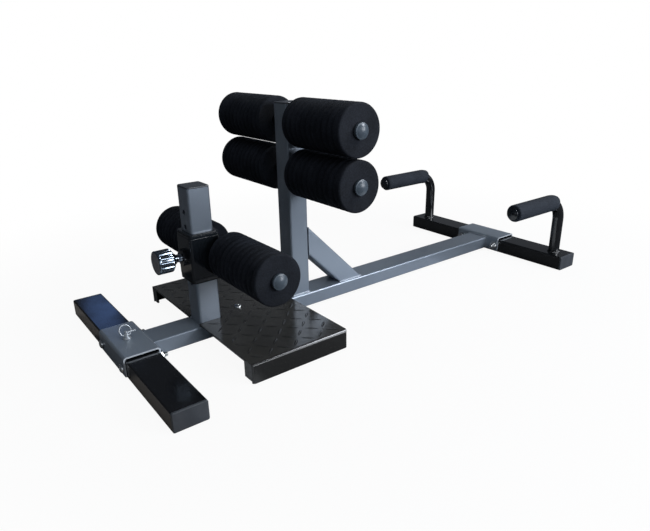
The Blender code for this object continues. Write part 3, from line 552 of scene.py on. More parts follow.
class Palette:
    """Every finish of the machine: one for each slot, and some that single pieces have. Several of those are
    lighter or darker copies of a slot's finish: painted light on the brackets, brace, grips, welds and knob
    face, a painted reflection on the sleeve, and painted shade on the knob's flutes and the handle plugs.
    """

    def __init__(self) -> None:
        """Builds the groups, then one material for each finish."""
        effects = Effects()
        recipes = {
            Slot.GREY_PAINT: grey_paint("silver_grey_paint", (0.222, 0.262, 0.316)),
            Slot.BLACK_PAINT: black_paint("black_gloss_paint", (0.0048, 0.0054, 0.0066)),
            # Painted light and shade: a pale, nearly even film on the plate's flat top stands in for the
            # light on it and leaves the lozenge slopes dark.
            Slot.TREAD: Paint("tread_plate_paint", (0.0215, 0.0215, 0.0210), (0.19, 0.185, 0.170), 0.15,
                              peel=0.08, dust_and_light=0.20, dust_and_light_from=0.97, dust_evenness=0.75),
            Slot.FOAM: Foam("roller_foam", (0.0038, 0.0048, 0.0072), (0.0230, 0.0275, 0.0375)),
            Slot.BLACK_PLASTIC: Moulded("black_cap_plastic", (0.054, 0.060, 0.070), (0.095, 0.104, 0.118),
                                        0.30),
            Slot.GREY_PLASTIC: Moulded("plug_plastic", (0.070, 0.092, 0.116), (0.115, 0.141, 0.170), 0.32),
            Slot.ZINC: Plated("zinc_plate", (0.82, 0.83, 0.82), (0.60, 0.60, 0.57), 0.22),
            Slot.CHROME: Plated("chrome_plate", (0.52, 0.56, 0.61), (0.38, 0.41, 0.45), 0.08, drift=0.05),
            Slot.SPRING: Plated("spring_wire", (0.45, 0.45, 0.45), (0.30, 0.30, 0.30), 0.3),
        }
        self.by_slot = {slot: recipe.make(effects) for slot, recipe in recipes.items()}
        # Painted shade: a darker copy of the chrome for the knob's fluted side.
        self.knob_side = Plated("knob_chrome", (0.28, 0.335, 0.40), (0.20, 0.24, 0.29), 0.11,
                                drift=0.05).make(effects)
        # Painted highlight: a lighter, glossier copy of the grey paint for the weld beads.
        self.weld_paint = Paint("painted_weld", (0.34, 0.38, 0.43), GREY_WORN, 0.24, metallic=0.4,
                                specular=0.7, coat=0.4, peel=0.10, dust_and_light=0.0).make(effects)
        self.pin_chrome = Plated("pin_chrome", (0.64, 0.68, 0.72), (0.48, 0.51, 0.54), 0.34,
                                 metallic=0.6).make(effects)
        self.collar = Moulded("bushing_plastic", (0.0085, 0.0115, 0.0155), (0.018, 0.023, 0.030), 0.16,
                              specular=0.6).make(effects)
        # Painted light: a lighter copy of the grey paint for the brackets, with a painted highlight on their
        # rims.
        self.sheet_paint_lit = grey_paint("grey_sheet_paint", (0.258, 0.305, 0.362),
                                      rim_highlight=(0.80, 0.86, 0.93)).make(effects)
        # Painted light: a lighter copy of the grey paint for the brace.
        self.brace_paint = grey_paint("grey_brace_paint", (0.285, 0.335, 0.405)).make(effects)
        # Painted reflection: a lighter, bluer copy of the black gloss for the sleeve.
        self.sleeve_paint = black_paint("black_sleeve_paint", (0.0100, 0.0128, 0.0165)).make(effects)
        # Painted light: a paler, rougher copy of the chrome for the knob's front face.
        self.knob_face = Plated("knob_face", (0.52, 0.51, 0.55), (0.35, 0.35, 0.37), 0.36).make(effects)
        # Painted light: a lighter, bluer copy of the roller foam for the grips.
        self.grip_foam = Foam("grip_foam", (0.0150, 0.0190, 0.0262), (0.037, 0.045, 0.060)).make(effects)
        # Painted shade: a black copy of the plug plastic for the handle plugs.
        self.handle_plug = Moulded("handle_plug_plastic", (0.006, 0.008, 0.011), (0.012, 0.015, 0.020), 0.16,
                                   specular=0.6).make(effects)

    def of(self, slot: Slot) -> bpy.types.Material:
        """Returns a slot's material."""
        return self.by_slot[slot]


# Mesh makers


def add_mesh(name: str, bm: bmesh.types.BMesh, material: bpy.types.Material, sharp: float = 35.0,
             ) -> bpy.types.Object:
    """Makes a shown object from a bmesh, smooth but for edges over an angle.

    Args:
        name: the piece's name.
        bm: the mesh, which is freed.
        material: its finish.
        sharp: the angle in degrees past which an edge stays crisp.

    Returns:
        The object, at the origin.
    """
    bmesh.ops.remove_doubles(bm, verts=bm.verts, dist=1e-6)
    bmesh.ops.recalc_face_normals(bm, faces=bm.faces)
    mesh = bpy.data.meshes.new(name)
    bm.to_mesh(mesh)
    bm.free()
    mesh.shade_smooth()
    mesh.set_sharp_from_angle(angle=math.radians(sharp))
    mesh.materials.append(material)
    item = bpy.data.objects.new(name, mesh)
    bpy.context.scene.collection.objects.link(item)
    return item


def settle(item: bpy.types.Object) -> None:
    """Turns an object's modifiers into a plain mesh.

    Args:
        item: the object, which keeps no modifiers.
    """
    bpy.context.view_layer.update()
    shown = item.evaluated_get(bpy.context.evaluated_depsgraph_get())
    mesh = bpy.data.meshes.new_from_object(shown)
    mesh.name = item.name
    old = item.data
    item.modifiers.clear()
    item.data = mesh
    bpy.data.meshes.remove(old)


def place(piece: bpy.types.Object, body: str, slot: Slot, *nodes: str) -> None:
    """Puts a piece on its body, in the place of CAD nodes, and reports it.

    Args:
        piece: the finished piece.
        body: the body that it rides on.
        slot: the record's slot of its finish; not used.
        nodes: the nodes that it stands for.
    """
    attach(piece, body)
    if nodes:
        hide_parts(*nodes)
    log.info("%s rides on %s: %d faces", piece.name, body, len(piece.data.polygons))


def ring_of(bm: bmesh.types.BMesh, centre: Vector, u: Vector, v: Vector, outline: list[Pair]) -> Ring:
    """Adds a ring of vertices.

    Args:
        bm: the mesh.
        centre: the ring's centre.
        u: its first direction.
        v: its second direction.
        outline: points along u and v.

    Returns:
        The vertices.
    """
    return [bm.verts.new(centre + u * a + v * b) for a, b in outline]


def bridge(bm: bmesh.types.BMesh, first: Ring, second: Ring) -> None:
    """Joins two rings of equal counts with faces.

    Args:
        bm: the mesh.
        first: a ring.
        second: the next ring.
    """
    count = len(first)
    for i in range(count):
        j = (i + 1) % count
        bm.faces.new((first[i], first[j], second[j], second[i]))


def fan(bm: bmesh.types.BMesh, tip: bmesh.types.BMVert, ring: Ring) -> None:
    """Closes a ring with triangles to a tip.

    Args:
        bm: the mesh.
        tip: the tip.
        ring: the ring.
    """
    for i, corner in enumerate(ring):
        bm.faces.new((tip, corner, ring[(i + 1) % len(ring)]))


def polar(radii: list[float]) -> list[Pair]:
    """Returns the points of an outline from its radii at equal angles."""
    step = math.tau / len(radii)
    return [(radius * math.cos(step * i), radius * math.sin(step * i)) for i, radius in enumerate(radii)]


def round_outline(radius: float, sides: int) -> list[Pair]:
    """Returns a circle's points."""
    return polar([radius] * sides)


def turn_profile(bm: bmesh.types.BMesh, profile: list[Pair], centre: Point, axis: Point, sides: int = 48,
                 closed: bool = False) -> None:
    """Turns a profile about an axis.

    Args:
        bm: the mesh that it is added to.
        profile: (radius, distance) pairs; a radius of 0 closes the shape on its axis.
        centre: a point on the axis.
        axis: its direction.
        sides: how many sides.
        closed: the profile runs back to its start, as round a bore.
    """
    direction = Vector(axis).normalized()
    u = direction.orthogonal().normalized()
    v = direction.cross(u)
    start = Vector(centre)
    loops: list[Ring] = []
    for radius, along in profile:
        if radius <= 0.0:
            loops.append([bm.verts.new(start + direction * along)])
        else:
            loops.append(ring_of(bm, start + direction * along, u, v, round_outline(radius, sides)))
    pairs = list(zip(loops, loops[1:]))
    if closed:
        pairs.append((loops[-1], loops[0]))
    for first, second in pairs:
        if len(first) == 1:
            fan(bm, first[0], second)
        elif len(second) == 1:
            fan(bm, second[0], first)
        else:
            bridge(bm, first, second)


def arc(centre: Pair, radius: float, start: float, end: float, steps: int) -> list[Pair]:
    """Returns points on an arc of a profile.

    Args:
        centre: the arc's centre, as (radius, distance).
        radius: its radius.
        start: its first angle in degrees.
        end: its last angle in degrees.
        steps: how many steps.

    Returns:
        The points.
    """
    points = []
    for step in range(steps + 1):
        angle = math.radians(start + (end - start) * step / steps)
        points.append((centre[0] + radius * math.cos(angle), centre[1] + radius * math.sin(angle)))
    return points


def dome(radius: float, base: float, rise: float, angles: tuple[float, ...]) -> list[Pair]:
    """Returns points on the dome of a button head.

    Args:
        radius: the head's radius.
        base: where the dome starts.
        rise: its height at 90 degrees.
        angles: the points' angles in degrees.

    Returns:
        The points.
    """
    turned = [math.radians(angle) for angle in angles]
    return [(radius * math.cos(angle), base + rise * math.sin(angle)) for angle in turned]


def thread(radius: float, start: float, pitch: float, count: int, depth: float = 0.0006) -> list[Pair]:
    """Returns the zigzag of a thread's turns.

    Args:
        radius: the outside radius.
        start: where the first crest is.
        pitch: from crest to crest, below 0 where the turns run back.
        count: how many turns.
        depth: how deep the roots are.

    Returns:
        The points.
    """
    crests = [start + k * pitch for k in range(count)]
    return [spot for y in crests for spot in ((radius, y), (radius - depth, y + pitch / 2))]


def sweep(bm: bmesh.types.BMesh, stations: list[Station], across: Vector, sides: int) -> None:
    """Sweeps a round section along stations in one plane, and closes it back to the start.

    Args:
        bm: the mesh that it is added to.
        stations: (point, direction, radius) of each ring, in order round the closed path.
        across: the direction square to the plane.
        sides: how many sides.
    """
    loops = []
    for point, direction, radius in stations:
        v = direction.cross(across).normalized()
        loops.append(ring_of(bm, point, across, v, round_outline(radius, sides)))
    for first, second in zip(loops, loops[1:] + loops[:1]):
        bridge(bm, first, second)


# Geometry node trees


class GeometryTrees:
    """The rule-made shapes: foam ribs, tread lozenges, weld ripples and repeated fasteners."""

    # Keeps the counts of grid_parity above 0, and off the steps of its rounding
    parity_shift: float = 100.25

    def __init__(self) -> None:
        """Builds every tree once."""
        self.ribs = self.make_ribs()
        self.tread = self.make_tread()
        self.weld = self.make_weld()
        self.repeat = self.make_repeat()

    @staticmethod
    def start(name: str, inputs: dict[str, tuple[str, object]]) -> GroupBoard:
        """Makes a geometry tree with Geometry and Finish inputs and a Geometry output."""
        sockets = {"Geometry": (GEOMETRY, None), **inputs, "Finish": ("NodeSocketMaterial", None)}
        return GroupBoard(name, "GeometryNodeTree", sockets, {"Geometry": GEOMETRY})

    @staticmethod
    def end(board: GroupBoard, geometry: Socket) -> bpy.types.NodeTree:
        """Ends a tree in Realize Instances and Set Material.

        Args:
            board: the tree's board.
            geometry: what was made.

        Returns:
            The tree.
        """
        real = board.add("GeometryNodeRealizeInstances", i0=geometry)
        painted = board.add("GeometryNodeSetMaterial", i0=real.outputs[0], Material=board.given["Finish"])
        board.link(painted.outputs[0], board.result[0])
        return board.tree

    @staticmethod
    def here(board: NodeBoard) -> Socket:
        """Returns each point's place."""
        return board.add("GeometryNodeInputPosition").outputs[0]

    def make_ribs(self) -> bpy.types.NodeTree:
        """Makes the tree that presses ring grooves into a foam roller and makes its skin uneven.

        Returns:
            The tree.
        """
        board = self.start("foam_ribs", {
            "Side": (NUMBER, 1.0), "Start": (NUMBER, 0.05), "Pitch": (NUMBER, 0.015),
            "Count": (NUMBER, 10.0), "Width": (NUMBER, 0.005), "Depth": (NUMBER, 0.0013),
            "Outer Radius": (NUMBER, 0.047), "Axis Y": (NUMBER, 0.0), "Axis Z": (NUMBER, 0.0),
            "Unevenness": (NUMBER, 0.0002)})
        sizes, maths = board.given, board.maths
        here = self.here(board)
        x, y, z = board.split(here)
        up = maths("SUBTRACT", z, sizes["Axis Z"])
        radial = board.join(0.0, maths("SUBTRACT", y, sizes["Axis Y"]), up)
        outward = board.add("ShaderNodeVectorMath", {"operation": "NORMALIZE"}, i0=radial).outputs[0]
        along = maths("SUBTRACT", maths("MULTIPLY", x, sizes["Side"]), sizes["Start"])
        nearest = maths("ROUND", maths("DIVIDE", along, sizes["Pitch"]))
        last = maths("SUBTRACT", sizes["Count"], 1.0)
        held = maths("MAXIMUM", 0.0, maths("MINIMUM", nearest, last))
        off = maths("ABSOLUTE", maths("SUBTRACT", along, maths("MULTIPLY", held, sizes["Pitch"])))
        share = maths("MINIMUM", 1.0, maths("DIVIDE", off, maths("DIVIDE", sizes["Width"], 2.0)))
        groove = maths("POWER", maths("SUBTRACT", 1.0, maths("MULTIPLY", share, share)), 1.5)
        low = maths("MULTIPLY", sizes["Outer Radius"], 0.6)
        skin = board.ramp(board.length(radial), low, sizes["Outer Radius"], smooth=False)
        uneven = maths("SUBTRACT", board.noise(here, 55.0, 3.0), 0.55)
        wave = maths("MULTIPLY", uneven, sizes["Unevenness"])
        press = maths("SUBTRACT", wave, maths("MULTIPLY", groove, sizes["Depth"]))
        move = board.add("ShaderNodeVectorMath", {"operation": "SCALE"}, i0=outward,
                         Scale=maths("MULTIPLY", press, skin))
        moved = board.add("GeometryNodeSetPosition", Geometry=sizes["Geometry"], Offset=move.outputs[0])
        return self.end(board, moved.outputs[0])

    def make_tread(self) -> bpy.types.NodeTree:
        """Makes the tree that lays pointed lozenges on a plate, each square to its neighbours.

        Returns:
            The tree.
        """
        board = self.start("tread_lozenges", {
            "Middle": (VECTOR, (0.0, 0.0, 0.0)), "Columns": (WHOLE, 10), "Rows": (WHOLE, 6),
            "Pitch": (NUMBER, 0.027), "Length": (NUMBER, 0.028), "Breadth": (NUMBER, 0.006),
            "Rise": (NUMBER, 0.001), "Slot Half": (NUMBER, 0.03), "Slot End": (NUMBER, 0.0),
            "Screw Y": (NUMBER, 0.0), "Screw Clear": (NUMBER, 0.02)})
        sizes, maths = board.given, board.maths
        wide = maths("MULTIPLY", maths("SUBTRACT", sizes["Columns"], 1.0), sizes["Pitch"])
        deep = maths("MULTIPLY", maths("SUBTRACT", sizes["Rows"], 1.0), sizes["Pitch"])
        field = board.add("GeometryNodeMeshGrid", i0=wide, i1=deep, i2=sizes["Columns"], i3=sizes["Rows"])
        moved = board.add("GeometryNodeSetPosition", Geometry=field.outputs[0], Offset=sizes["Middle"])
        here = board.split(self.here(board))
        in_slot = maths("LESS_THAN", maths("ABSOLUTE", here[0]), sizes["Slot Half"])
        at_front = maths("LESS_THAN", here[1], sizes["Slot End"])
        from_screw = board.length(board.join(here[0], maths("SUBTRACT", here[1], sizes["Screw Y"]), 0.0))
        by_screw = maths("LESS_THAN", from_screw, sizes["Screw Clear"])
        bare = maths("MAXIMUM", maths("MULTIPLY", in_slot, at_front), by_screw)
        kept = board.add("GeometryNodeDeleteGeometry", {"domain": "POINT"}, Geometry=moved.outputs[0],
                         Selection=bare)
        turn = maths("MULTIPLY_ADD", self.grid_parity(board, here), math.pi / 2, math.pi / 4)
        laid = board.add("GeometryNodeInstanceOnPoints", Points=kept.outputs[0],
                         Instance=self.add_lozenge(board), Rotation=board.join(0.0, 0.0, turn))
        return self.end(board, laid.outputs[0])

    def grid_parity(self, board: GroupBoard, here: Sockets) -> Socket:
        """Tells the points of the grid apart, turn about.

        Args:
            board: the tread's board.
            here: the X, Y and Z of each point.

        Returns:
            0 or 1.
        """
        middle = board.split(board.given["Middle"])
        counts = []
        for axis in (0, 1):
            distance = board.maths("SUBTRACT", here[axis], middle[axis])
            steps = board.maths("DIVIDE", distance, board.given["Pitch"])
            counts.append(board.maths("FLOOR", board.maths("ADD", steps, self.parity_shift)))
        return board.maths("MODULO", board.maths("ADD", *counts), 2.0)

    def add_lozenge(self, board: GroupBoard) -> Socket:
        """Adds a raised lens with pointed ends, made from a small grid.

        Args:
            board: the tread's board.

        Returns:
            The lozenge's geometry.
        """
        maths = board.maths
        sheet = board.add("GeometryNodeMeshGrid", i0=2.0, i1=2.0, i2=13, i3=7)
        spot = board.split(self.here(board))
        taper = maths("SUBTRACT", 1.0, maths("MULTIPLY", spot[0], spot[0]))
        crown = maths("SUBTRACT", 1.0, maths("MULTIPLY", spot[1], spot[1]))
        x = maths("MULTIPLY", spot[0], maths("DIVIDE", board.given["Length"], 2.0))
        half = maths("DIVIDE", board.given["Breadth"], 2.0)
        y = maths("MULTIPLY", maths("MULTIPLY", spot[1], half), taper)
        hump = maths("POWER", maths("MAXIMUM", maths("MULTIPLY", taper, crown), 0.0), 0.6)
        shape = board.join(x, y, maths("MULTIPLY", hump, board.given["Rise"]))
        made = board.add("GeometryNodeSetPosition", Geometry=sheet.outputs[0], Position=shape)
        return board.add("GeometryNodeSetShadeSmooth", Geometry=made.outputs[0]).outputs[0]

    def make_weld(self) -> bpy.types.NodeTree:
        """Makes the tree that lays overlapping ripples along a line, as a weld bead.

        Returns:
            The tree.
        """
        board = self.start("weld_bead", {"Spacing": (NUMBER, 0.0016), "Bead Radius": (NUMBER, 0.0022),
                                         "Flatness": (NUMBER, 0.7), "Seed": (WHOLE, 4)})
        sizes = board.given
        line = board.add("GeometryNodeMeshToCurve", Mesh=sizes["Geometry"])
        steps = board.add("GeometryNodeResampleCurve", {"mode": "LENGTH"}, Curve=line.outputs[0],
                          Length=sizes["Spacing"])
        along = board.add("GeometryNodeInputTangent").outputs[0]
        aligned = board.add("FunctionNodeAlignRotationToVector", {"axis": "X"}, Vector=along)
        points = board.add("GeometryNodeCurveToPoints", {"mode": "EVALUATED"}, Curve=steps.outputs[0])
        ball = board.add("GeometryNodeMeshUVSphere", Segments=12, Rings=7, Radius=1.0)
        smooth = board.add("GeometryNodeSetShadeSmooth", Geometry=ball.outputs[0])
        vary = board.add("FunctionNodeRandomValue", {"data_type": "FLOAT"}, i2=0.86, i3=1.12,
                         Seed=sizes["Seed"])
        radius = board.maths("MULTIPLY", vary.outputs[1], sizes["Bead Radius"])
        size = board.join(board.maths("MULTIPLY", radius, sizes["Flatness"]), radius, radius)
        ripples = board.add("GeometryNodeInstanceOnPoints", Points=points.outputs["Points"],
                            Instance=smooth.outputs[0], Rotation=aligned.outputs[0], Scale=size)
        return self.end(board, ripples.outputs[0])

    def make_repeat(self) -> bpy.types.NodeTree:
        """Makes the tree that puts a template on each vertex, turned away from the machine's middle.

        Returns:
            The tree.
        """
        board = self.start("repeated_fasteners", {"Template": ("NodeSocketObject", None)})
        template = board.add("GeometryNodeObjectInfo", Object=board.given["Template"])
        at_rear = board.maths("GREATER_THAN", board.split(self.here(board))[1], 0.0)
        rotation = board.join(0.0, 0.0, board.maths("MULTIPLY", at_rear, math.pi))
        put = board.add("GeometryNodeInstanceOnPoints", Points=board.given["Geometry"],
                        Instance=template.outputs["Geometry"], Rotation=rotation)
        return self.end(board, put.outputs[0])

    @staticmethod
    def run(item: bpy.types.Object, tree: bpy.types.NodeTree, **inputs: object) -> None:
        """Runs a tree on an object and settles the result into a plain mesh.

        Args:
            item: the object.
            tree: the geometry tree.
            inputs: values for its sockets, with _ for a space.
        """
        modifier = item.modifiers.new(tree.name, "NODES")
        modifier.node_group = tree
        for socket in tree.interface.items_tree:
            if socket.item_type == "SOCKET" and socket.in_out == "INPUT":
                key = socket.name.replace(" ", "_")
                if key in inputs:
                    modifier[socket.identifier] = inputs[key]
        settle(item)


# Sub-assemblies


@dataclass
class RigidNodes:
    """The CAD nodes that stay: each gets softened edges and its finish."""

    edge: float = 0.0006
    tube_edge: float = 0.0008
    sheet_edge: float = 0.0009
    bushing_edge: float = 0.0002
    edge_segments: int = 2
    crisp_angle: float = 40.0
    flat_angle: float = 0.5
    same_point: float = 0.00001
    normal_weight: int = 100

    def dress(self, name: str, finish: bpy.types.Material, edge: float) -> None:
        """Finishes one node without touching its own mesh.

        Args:
            name: the node.
            finish: its finish.
            edge: the width of its softened edges.
        """
        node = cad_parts[name]
        for index in range(max(1, len(node.material_slots))):
            if index >= len(node.data.materials):
                node.data.materials.append(finish)
            else:
                node.material_slots[index].material = finish
        node.data.shade_smooth()
        weld = node.modifiers.new("weld", "WELD")
        weld.merge_threshold = self.same_point
        flat = node.modifiers.new("flats", "DECIMATE")
        flat.decimate_type = "DISSOLVE"
        flat.angle_limit = math.radians(self.flat_angle)
        soften = node.modifiers.new("edges", "BEVEL")
        soften.width = edge
        soften.segments = self.edge_segments
        soften.limit_method = "ANGLE"
        soften.angle_limit = math.radians(self.crisp_angle)
        soften.harden_normals = True
        even = node.modifiers.new("normals", "WEIGHTED_NORMAL")
        even.keep_sharp = True
        even.weight = self.normal_weight
        log.info("%s keeps its CAD shape with %s", name, finish.name)

    def build(self, palette: Palette) -> None:
        """Finishes every rigid node that stays.

        Args:
            palette: the finishes.
        """
        foot_caps = [f"{end}_foot_cap_{word}" for end in ENDS for word in SIDES]
        plan = (
            (("main_beam", "short_post", "tall_post"), palette.of(Slot.GREY_PAINT), self.tube_edge),
            # The brace and the brackets take lighter copies of the grey paint as painted light, and the
            # sleeve a lighter, bluer black as a painted reflection.
            (("brace",), palette.brace_paint, self.tube_edge),
            (("carriage_sleeve",), palette.sleeve_paint, self.edge),
            (("front_bracket", "rear_bracket"), palette.sheet_paint_lit, self.sheet_edge),
            (("front_foot_bar", "rear_foot_bar", "pop_pin_nut"), palette.of(Slot.BLACK_PAINT), self.edge),
            (("foot_plate",), palette.of(Slot.TREAD), self.sheet_edge),
            ((*foot_caps, "short_post_cap", "tall_post_cap"), palette.of(Slot.BLACK_PLASTIC), self.tube_edge),
            (("sleeve_bushing_top", "sleeve_bushing_bottom"), palette.collar, self.bushing_edge),
        )
        for names, finish, edge in plan:
            for name in names:
                self.dress(name, finish, edge)
        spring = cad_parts["pop_pin_spring"]
        spring.material_slots[0].material = palette.of(Slot.SPRING)


@dataclass(frozen=True)
class DomedPlug:
    """A tube plug: a short side wall, a rounded shoulder, a low dome and a hollow stem in the tube."""

    radius: float = 0.0145
    top: float = 0.0110
    wall: float = 0.0052
    shoulder: float = 0.0016
    shoulder_rise: float = 0.6
    dome_steps: int = 12
    rim: float = 0.0008
    rim_cut: float = 0.0005
    seat: float = 0.0003
    stem_gap: float = 0.0006
    stem_length: float = 0.016
    stem_wall: float = 0.002

    def build(self, name: str, at: Point, outward: Point, bore: float, finish: bpy.types.Material,
              ) -> bpy.types.Object:
        """Makes the plug.

        Args:
            name: the piece's name.
            at: the middle of the tube's end.
            outward: the direction that it looks in.
            bore: the tube's bore radius.
            finish: its material.

        Returns:
            The plug.
        """
        lift = self.shoulder * self.shoulder_rise
        half = self.radius - self.shoulder
        fall = self.top - self.wall - lift
        profile = [(0.0, self.top)]
        for k in range(1, self.dome_steps + 1):
            out = half * k / self.dome_steps
            profile.append((out, self.top - fall * (out / half) ** 2))
        for angle in (25, 50, 72):
            turned = math.radians(angle)
            profile.append((half + self.shoulder * math.sin(turned), self.wall + lift * math.cos(turned)))
        stem = bore - self.stem_gap
        hollow = stem - self.stem_wall
        profile += [(self.radius, self.wall), (self.radius, self.rim),
                    (self.radius - self.rim_cut, self.seat), (stem, self.seat),
                    (stem, -self.stem_length), (hollow, -self.stem_length),
                    (hollow, -self.stem_wall), (0.0, -self.stem_wall)]
        bm = bmesh.new()
        turn_profile(bm, profile, at, outward)
        return add_mesh(name, bm, finish, 50)


@dataclass
class FoamRoller:
    """One ribbed foam roller."""

    node: str
    body: str
    side: int
    inner: float
    outer: float
    radius: float
    axis_y: float
    axis_z: float
    bore: float = 0.0130
    edge: float = 0.0040
    end_gap: float = 0.0003
    rib_start: float = 0.013
    rib_pitch: float = 0.0155
    ribs: int = 10
    groove_width: float = 0.0104
    groove_depth: float = 0.0036
    unevenness: float = 0.0003
    step: float = 0.0009
    face_steps: int = 5
    edge_steps: int = 6
    sides: int = 88

    def build(self, palette: Palette, trees: GeometryTrees) -> None:
        """Makes the roller and puts it in the node's place.

        Args:
            palette: the finishes.
            trees: the geometry trees.
        """
        foam = palette.of(Slot.FOAM)
        bm = bmesh.new()
        turn_profile(bm, self.profile(), (0.0, self.axis_y, self.axis_z), (self.side, 0, 0), self.sides,
                     closed=True)
        piece = add_mesh(f"foam_{self.node}", bm, foam)
        trees.run(piece, trees.ribs, Side=float(self.side), Start=self.inner + self.rib_start,
                  Pitch=self.rib_pitch, Count=float(self.ribs), Width=self.groove_width,
                  Depth=self.groove_depth, Outer_Radius=self.radius, Axis_Y=self.axis_y, Axis_Z=self.axis_z,
                  Unevenness=self.unevenness, Finish=foam)
        place(piece, self.body, Slot.FOAM, self.node)

    def profile(self) -> list[Pair]:
        """Works out the roller's outline, with rings close enough for the grooves.

        Returns:
            The profile, round the bore.
        """
        end = self.outer - self.end_gap
        flat = self.radius - self.edge
        straight = end - self.inner - 2 * self.edge
        count = round(straight / self.step)
        face = [self.bore + (flat - self.bore) * k / self.face_steps for k in range(self.face_steps)]
        profile = [(radius, self.inner) for radius in face]
        profile += arc((flat, self.inner + self.edge), self.edge, -90, 0, self.edge_steps)
        profile += [(self.radius, self.inner + self.edge + straight * k / count) for k in range(1, count)]
        profile += arc((flat, end - self.edge), self.edge, 0, 90, self.edge_steps)
        profile += [(radius, end) for radius in reversed(face)]
        return profile


@dataclass
class RollerBar:
    """A roller bar, its two foam rollers and their domed end plugs."""

    label: str
    body: str
    axis_y: float
    axis_z: float
    inner: float
    outer: float
    fuller: float = 0.0
    foam_radius: float = 0.0467
    bar_radius: float = 0.0125
    wall: float = 0.002

    def build(self, palette: Palette, trees: GeometryTrees) -> None:
        """Makes the bar, foam and plugs.

        Args:
            palette: the finishes.
            trees: the geometry trees.
        """
        bore = self.bar_radius - self.wall
        profile = [(bore, -self.outer), (self.bar_radius, -self.outer), (self.bar_radius, self.outer),
                   (bore, self.outer)]
        bm = bmesh.new()
        turn_profile(bm, profile, (0.0, self.axis_y, self.axis_z), (1, 0, 0), closed=True)
        bar = add_mesh(f"{self.label}_bar_tube", bm, palette.of(Slot.BLACK_PAINT))
        place(bar, self.body, Slot.BLACK_PAINT, f"{self.label}_roller_bar")
        for word, side in SIDES.items():
            radius = self.foam_radius + (self.fuller if word == "right" else 0.0)
            FoamRoller(f"{self.label}_roller_{word}", f"{self.label}_foam_{word}", side, self.inner,
                       self.outer, radius, self.axis_y, self.axis_z).build(palette, trees)
            end = (side * self.outer, self.axis_y, self.axis_z)
            plug = DomedPlug().build(f"{self.label}_domed_plug_{word}", end, (side, 0, 0), bore,
                                     palette.of(Slot.GREY_PLASTIC))
            place(plug, self.body, Slot.GREY_PLASTIC, f"{self.label}_roller_plug_{word}")


@dataclass
class TreadPlate:
    """The raised lozenges on the foot plate."""

    top: float = 0.0383
    sink: float = 0.0001
    front: float = -0.3875
    depth: float = 0.207
    columns: int = 16
    rows: int = 7
    pitch: float = 0.027
    length: float = 0.0275
    breadth: float = 0.0054
    rise: float = 0.0009
    slot_half: float = 0.0345
    slot_end: float = -0.322
    screw_y: float = -0.290
    screw_clear: float = 0.016

    def build(self, palette: Palette, trees: GeometryTrees) -> None:
        """Makes the tread.

        Args:
            palette: the finishes.
            trees: the geometry trees.
        """
        bm = bmesh.new()
        bm.verts.new((0, 0, 0))
        tread = add_mesh("tread_lozenges", bm, palette.of(Slot.TREAD))
        middle = (0.0, self.front + self.depth / 2, self.top - self.sink)
        trees.run(tread, trees.tread, Middle=middle, Columns=self.columns, Rows=self.rows, Pitch=self.pitch,
                  Length=self.length, Breadth=self.breadth, Rise=self.rise, Slot_Half=self.slot_half,
                  Slot_End=self.slot_end, Screw_Y=self.screw_y, Screw_Clear=self.screw_clear,
                  Finish=palette.of(Slot.TREAD))
        place(tread, "machine", Slot.TREAD)


@dataclass
class PlateScrew:
    """The foot plate's button screw."""

    y: float = -0.290
    seat: float = 0.0386
    head_radius: float = 0.0075
    head_side: float = 0.0012
    head_rise: float = 0.0032
    socket: float = 0.0021
    socket_floor: float = 0.0018
    socket_mouth: float = 0.0040
    land: float = 0.0031
    land_height: float = 0.0042
    shank: float = 0.004
    length: float = 0.016
    tip: float = 0.0032
    tip_cut: float = 0.001

    def build(self, palette: Palette) -> None:
        """Makes the screw.

        Args:
            palette: the finishes.
        """
        seat = self.seat
        floor = seat + self.socket_floor
        profile = [(0.0, floor), (self.socket, floor), (self.socket + 0.0004, seat + self.socket_mouth),
                   (self.land, seat + self.land_height)]
        profile += dome(self.head_radius, seat + self.head_side, self.head_rise, (62, 50, 38, 26, 12))
        profile += [(self.head_radius, seat + self.head_side), (self.head_radius, seat), (self.shank, seat),
                    (self.shank, seat - self.length + self.tip_cut), (self.tip, seat - self.length),
                    (0.0, seat - self.length)]
        bm = bmesh.new()
        turn_profile(bm, profile, (0, self.y, 0), (0, 0, 1), 36)
        screw = add_mesh("plate_button_screw", bm, palette.of(Slot.ZINC))
        place(screw, "machine", Slot.ZINC, "foot_plate_screw")


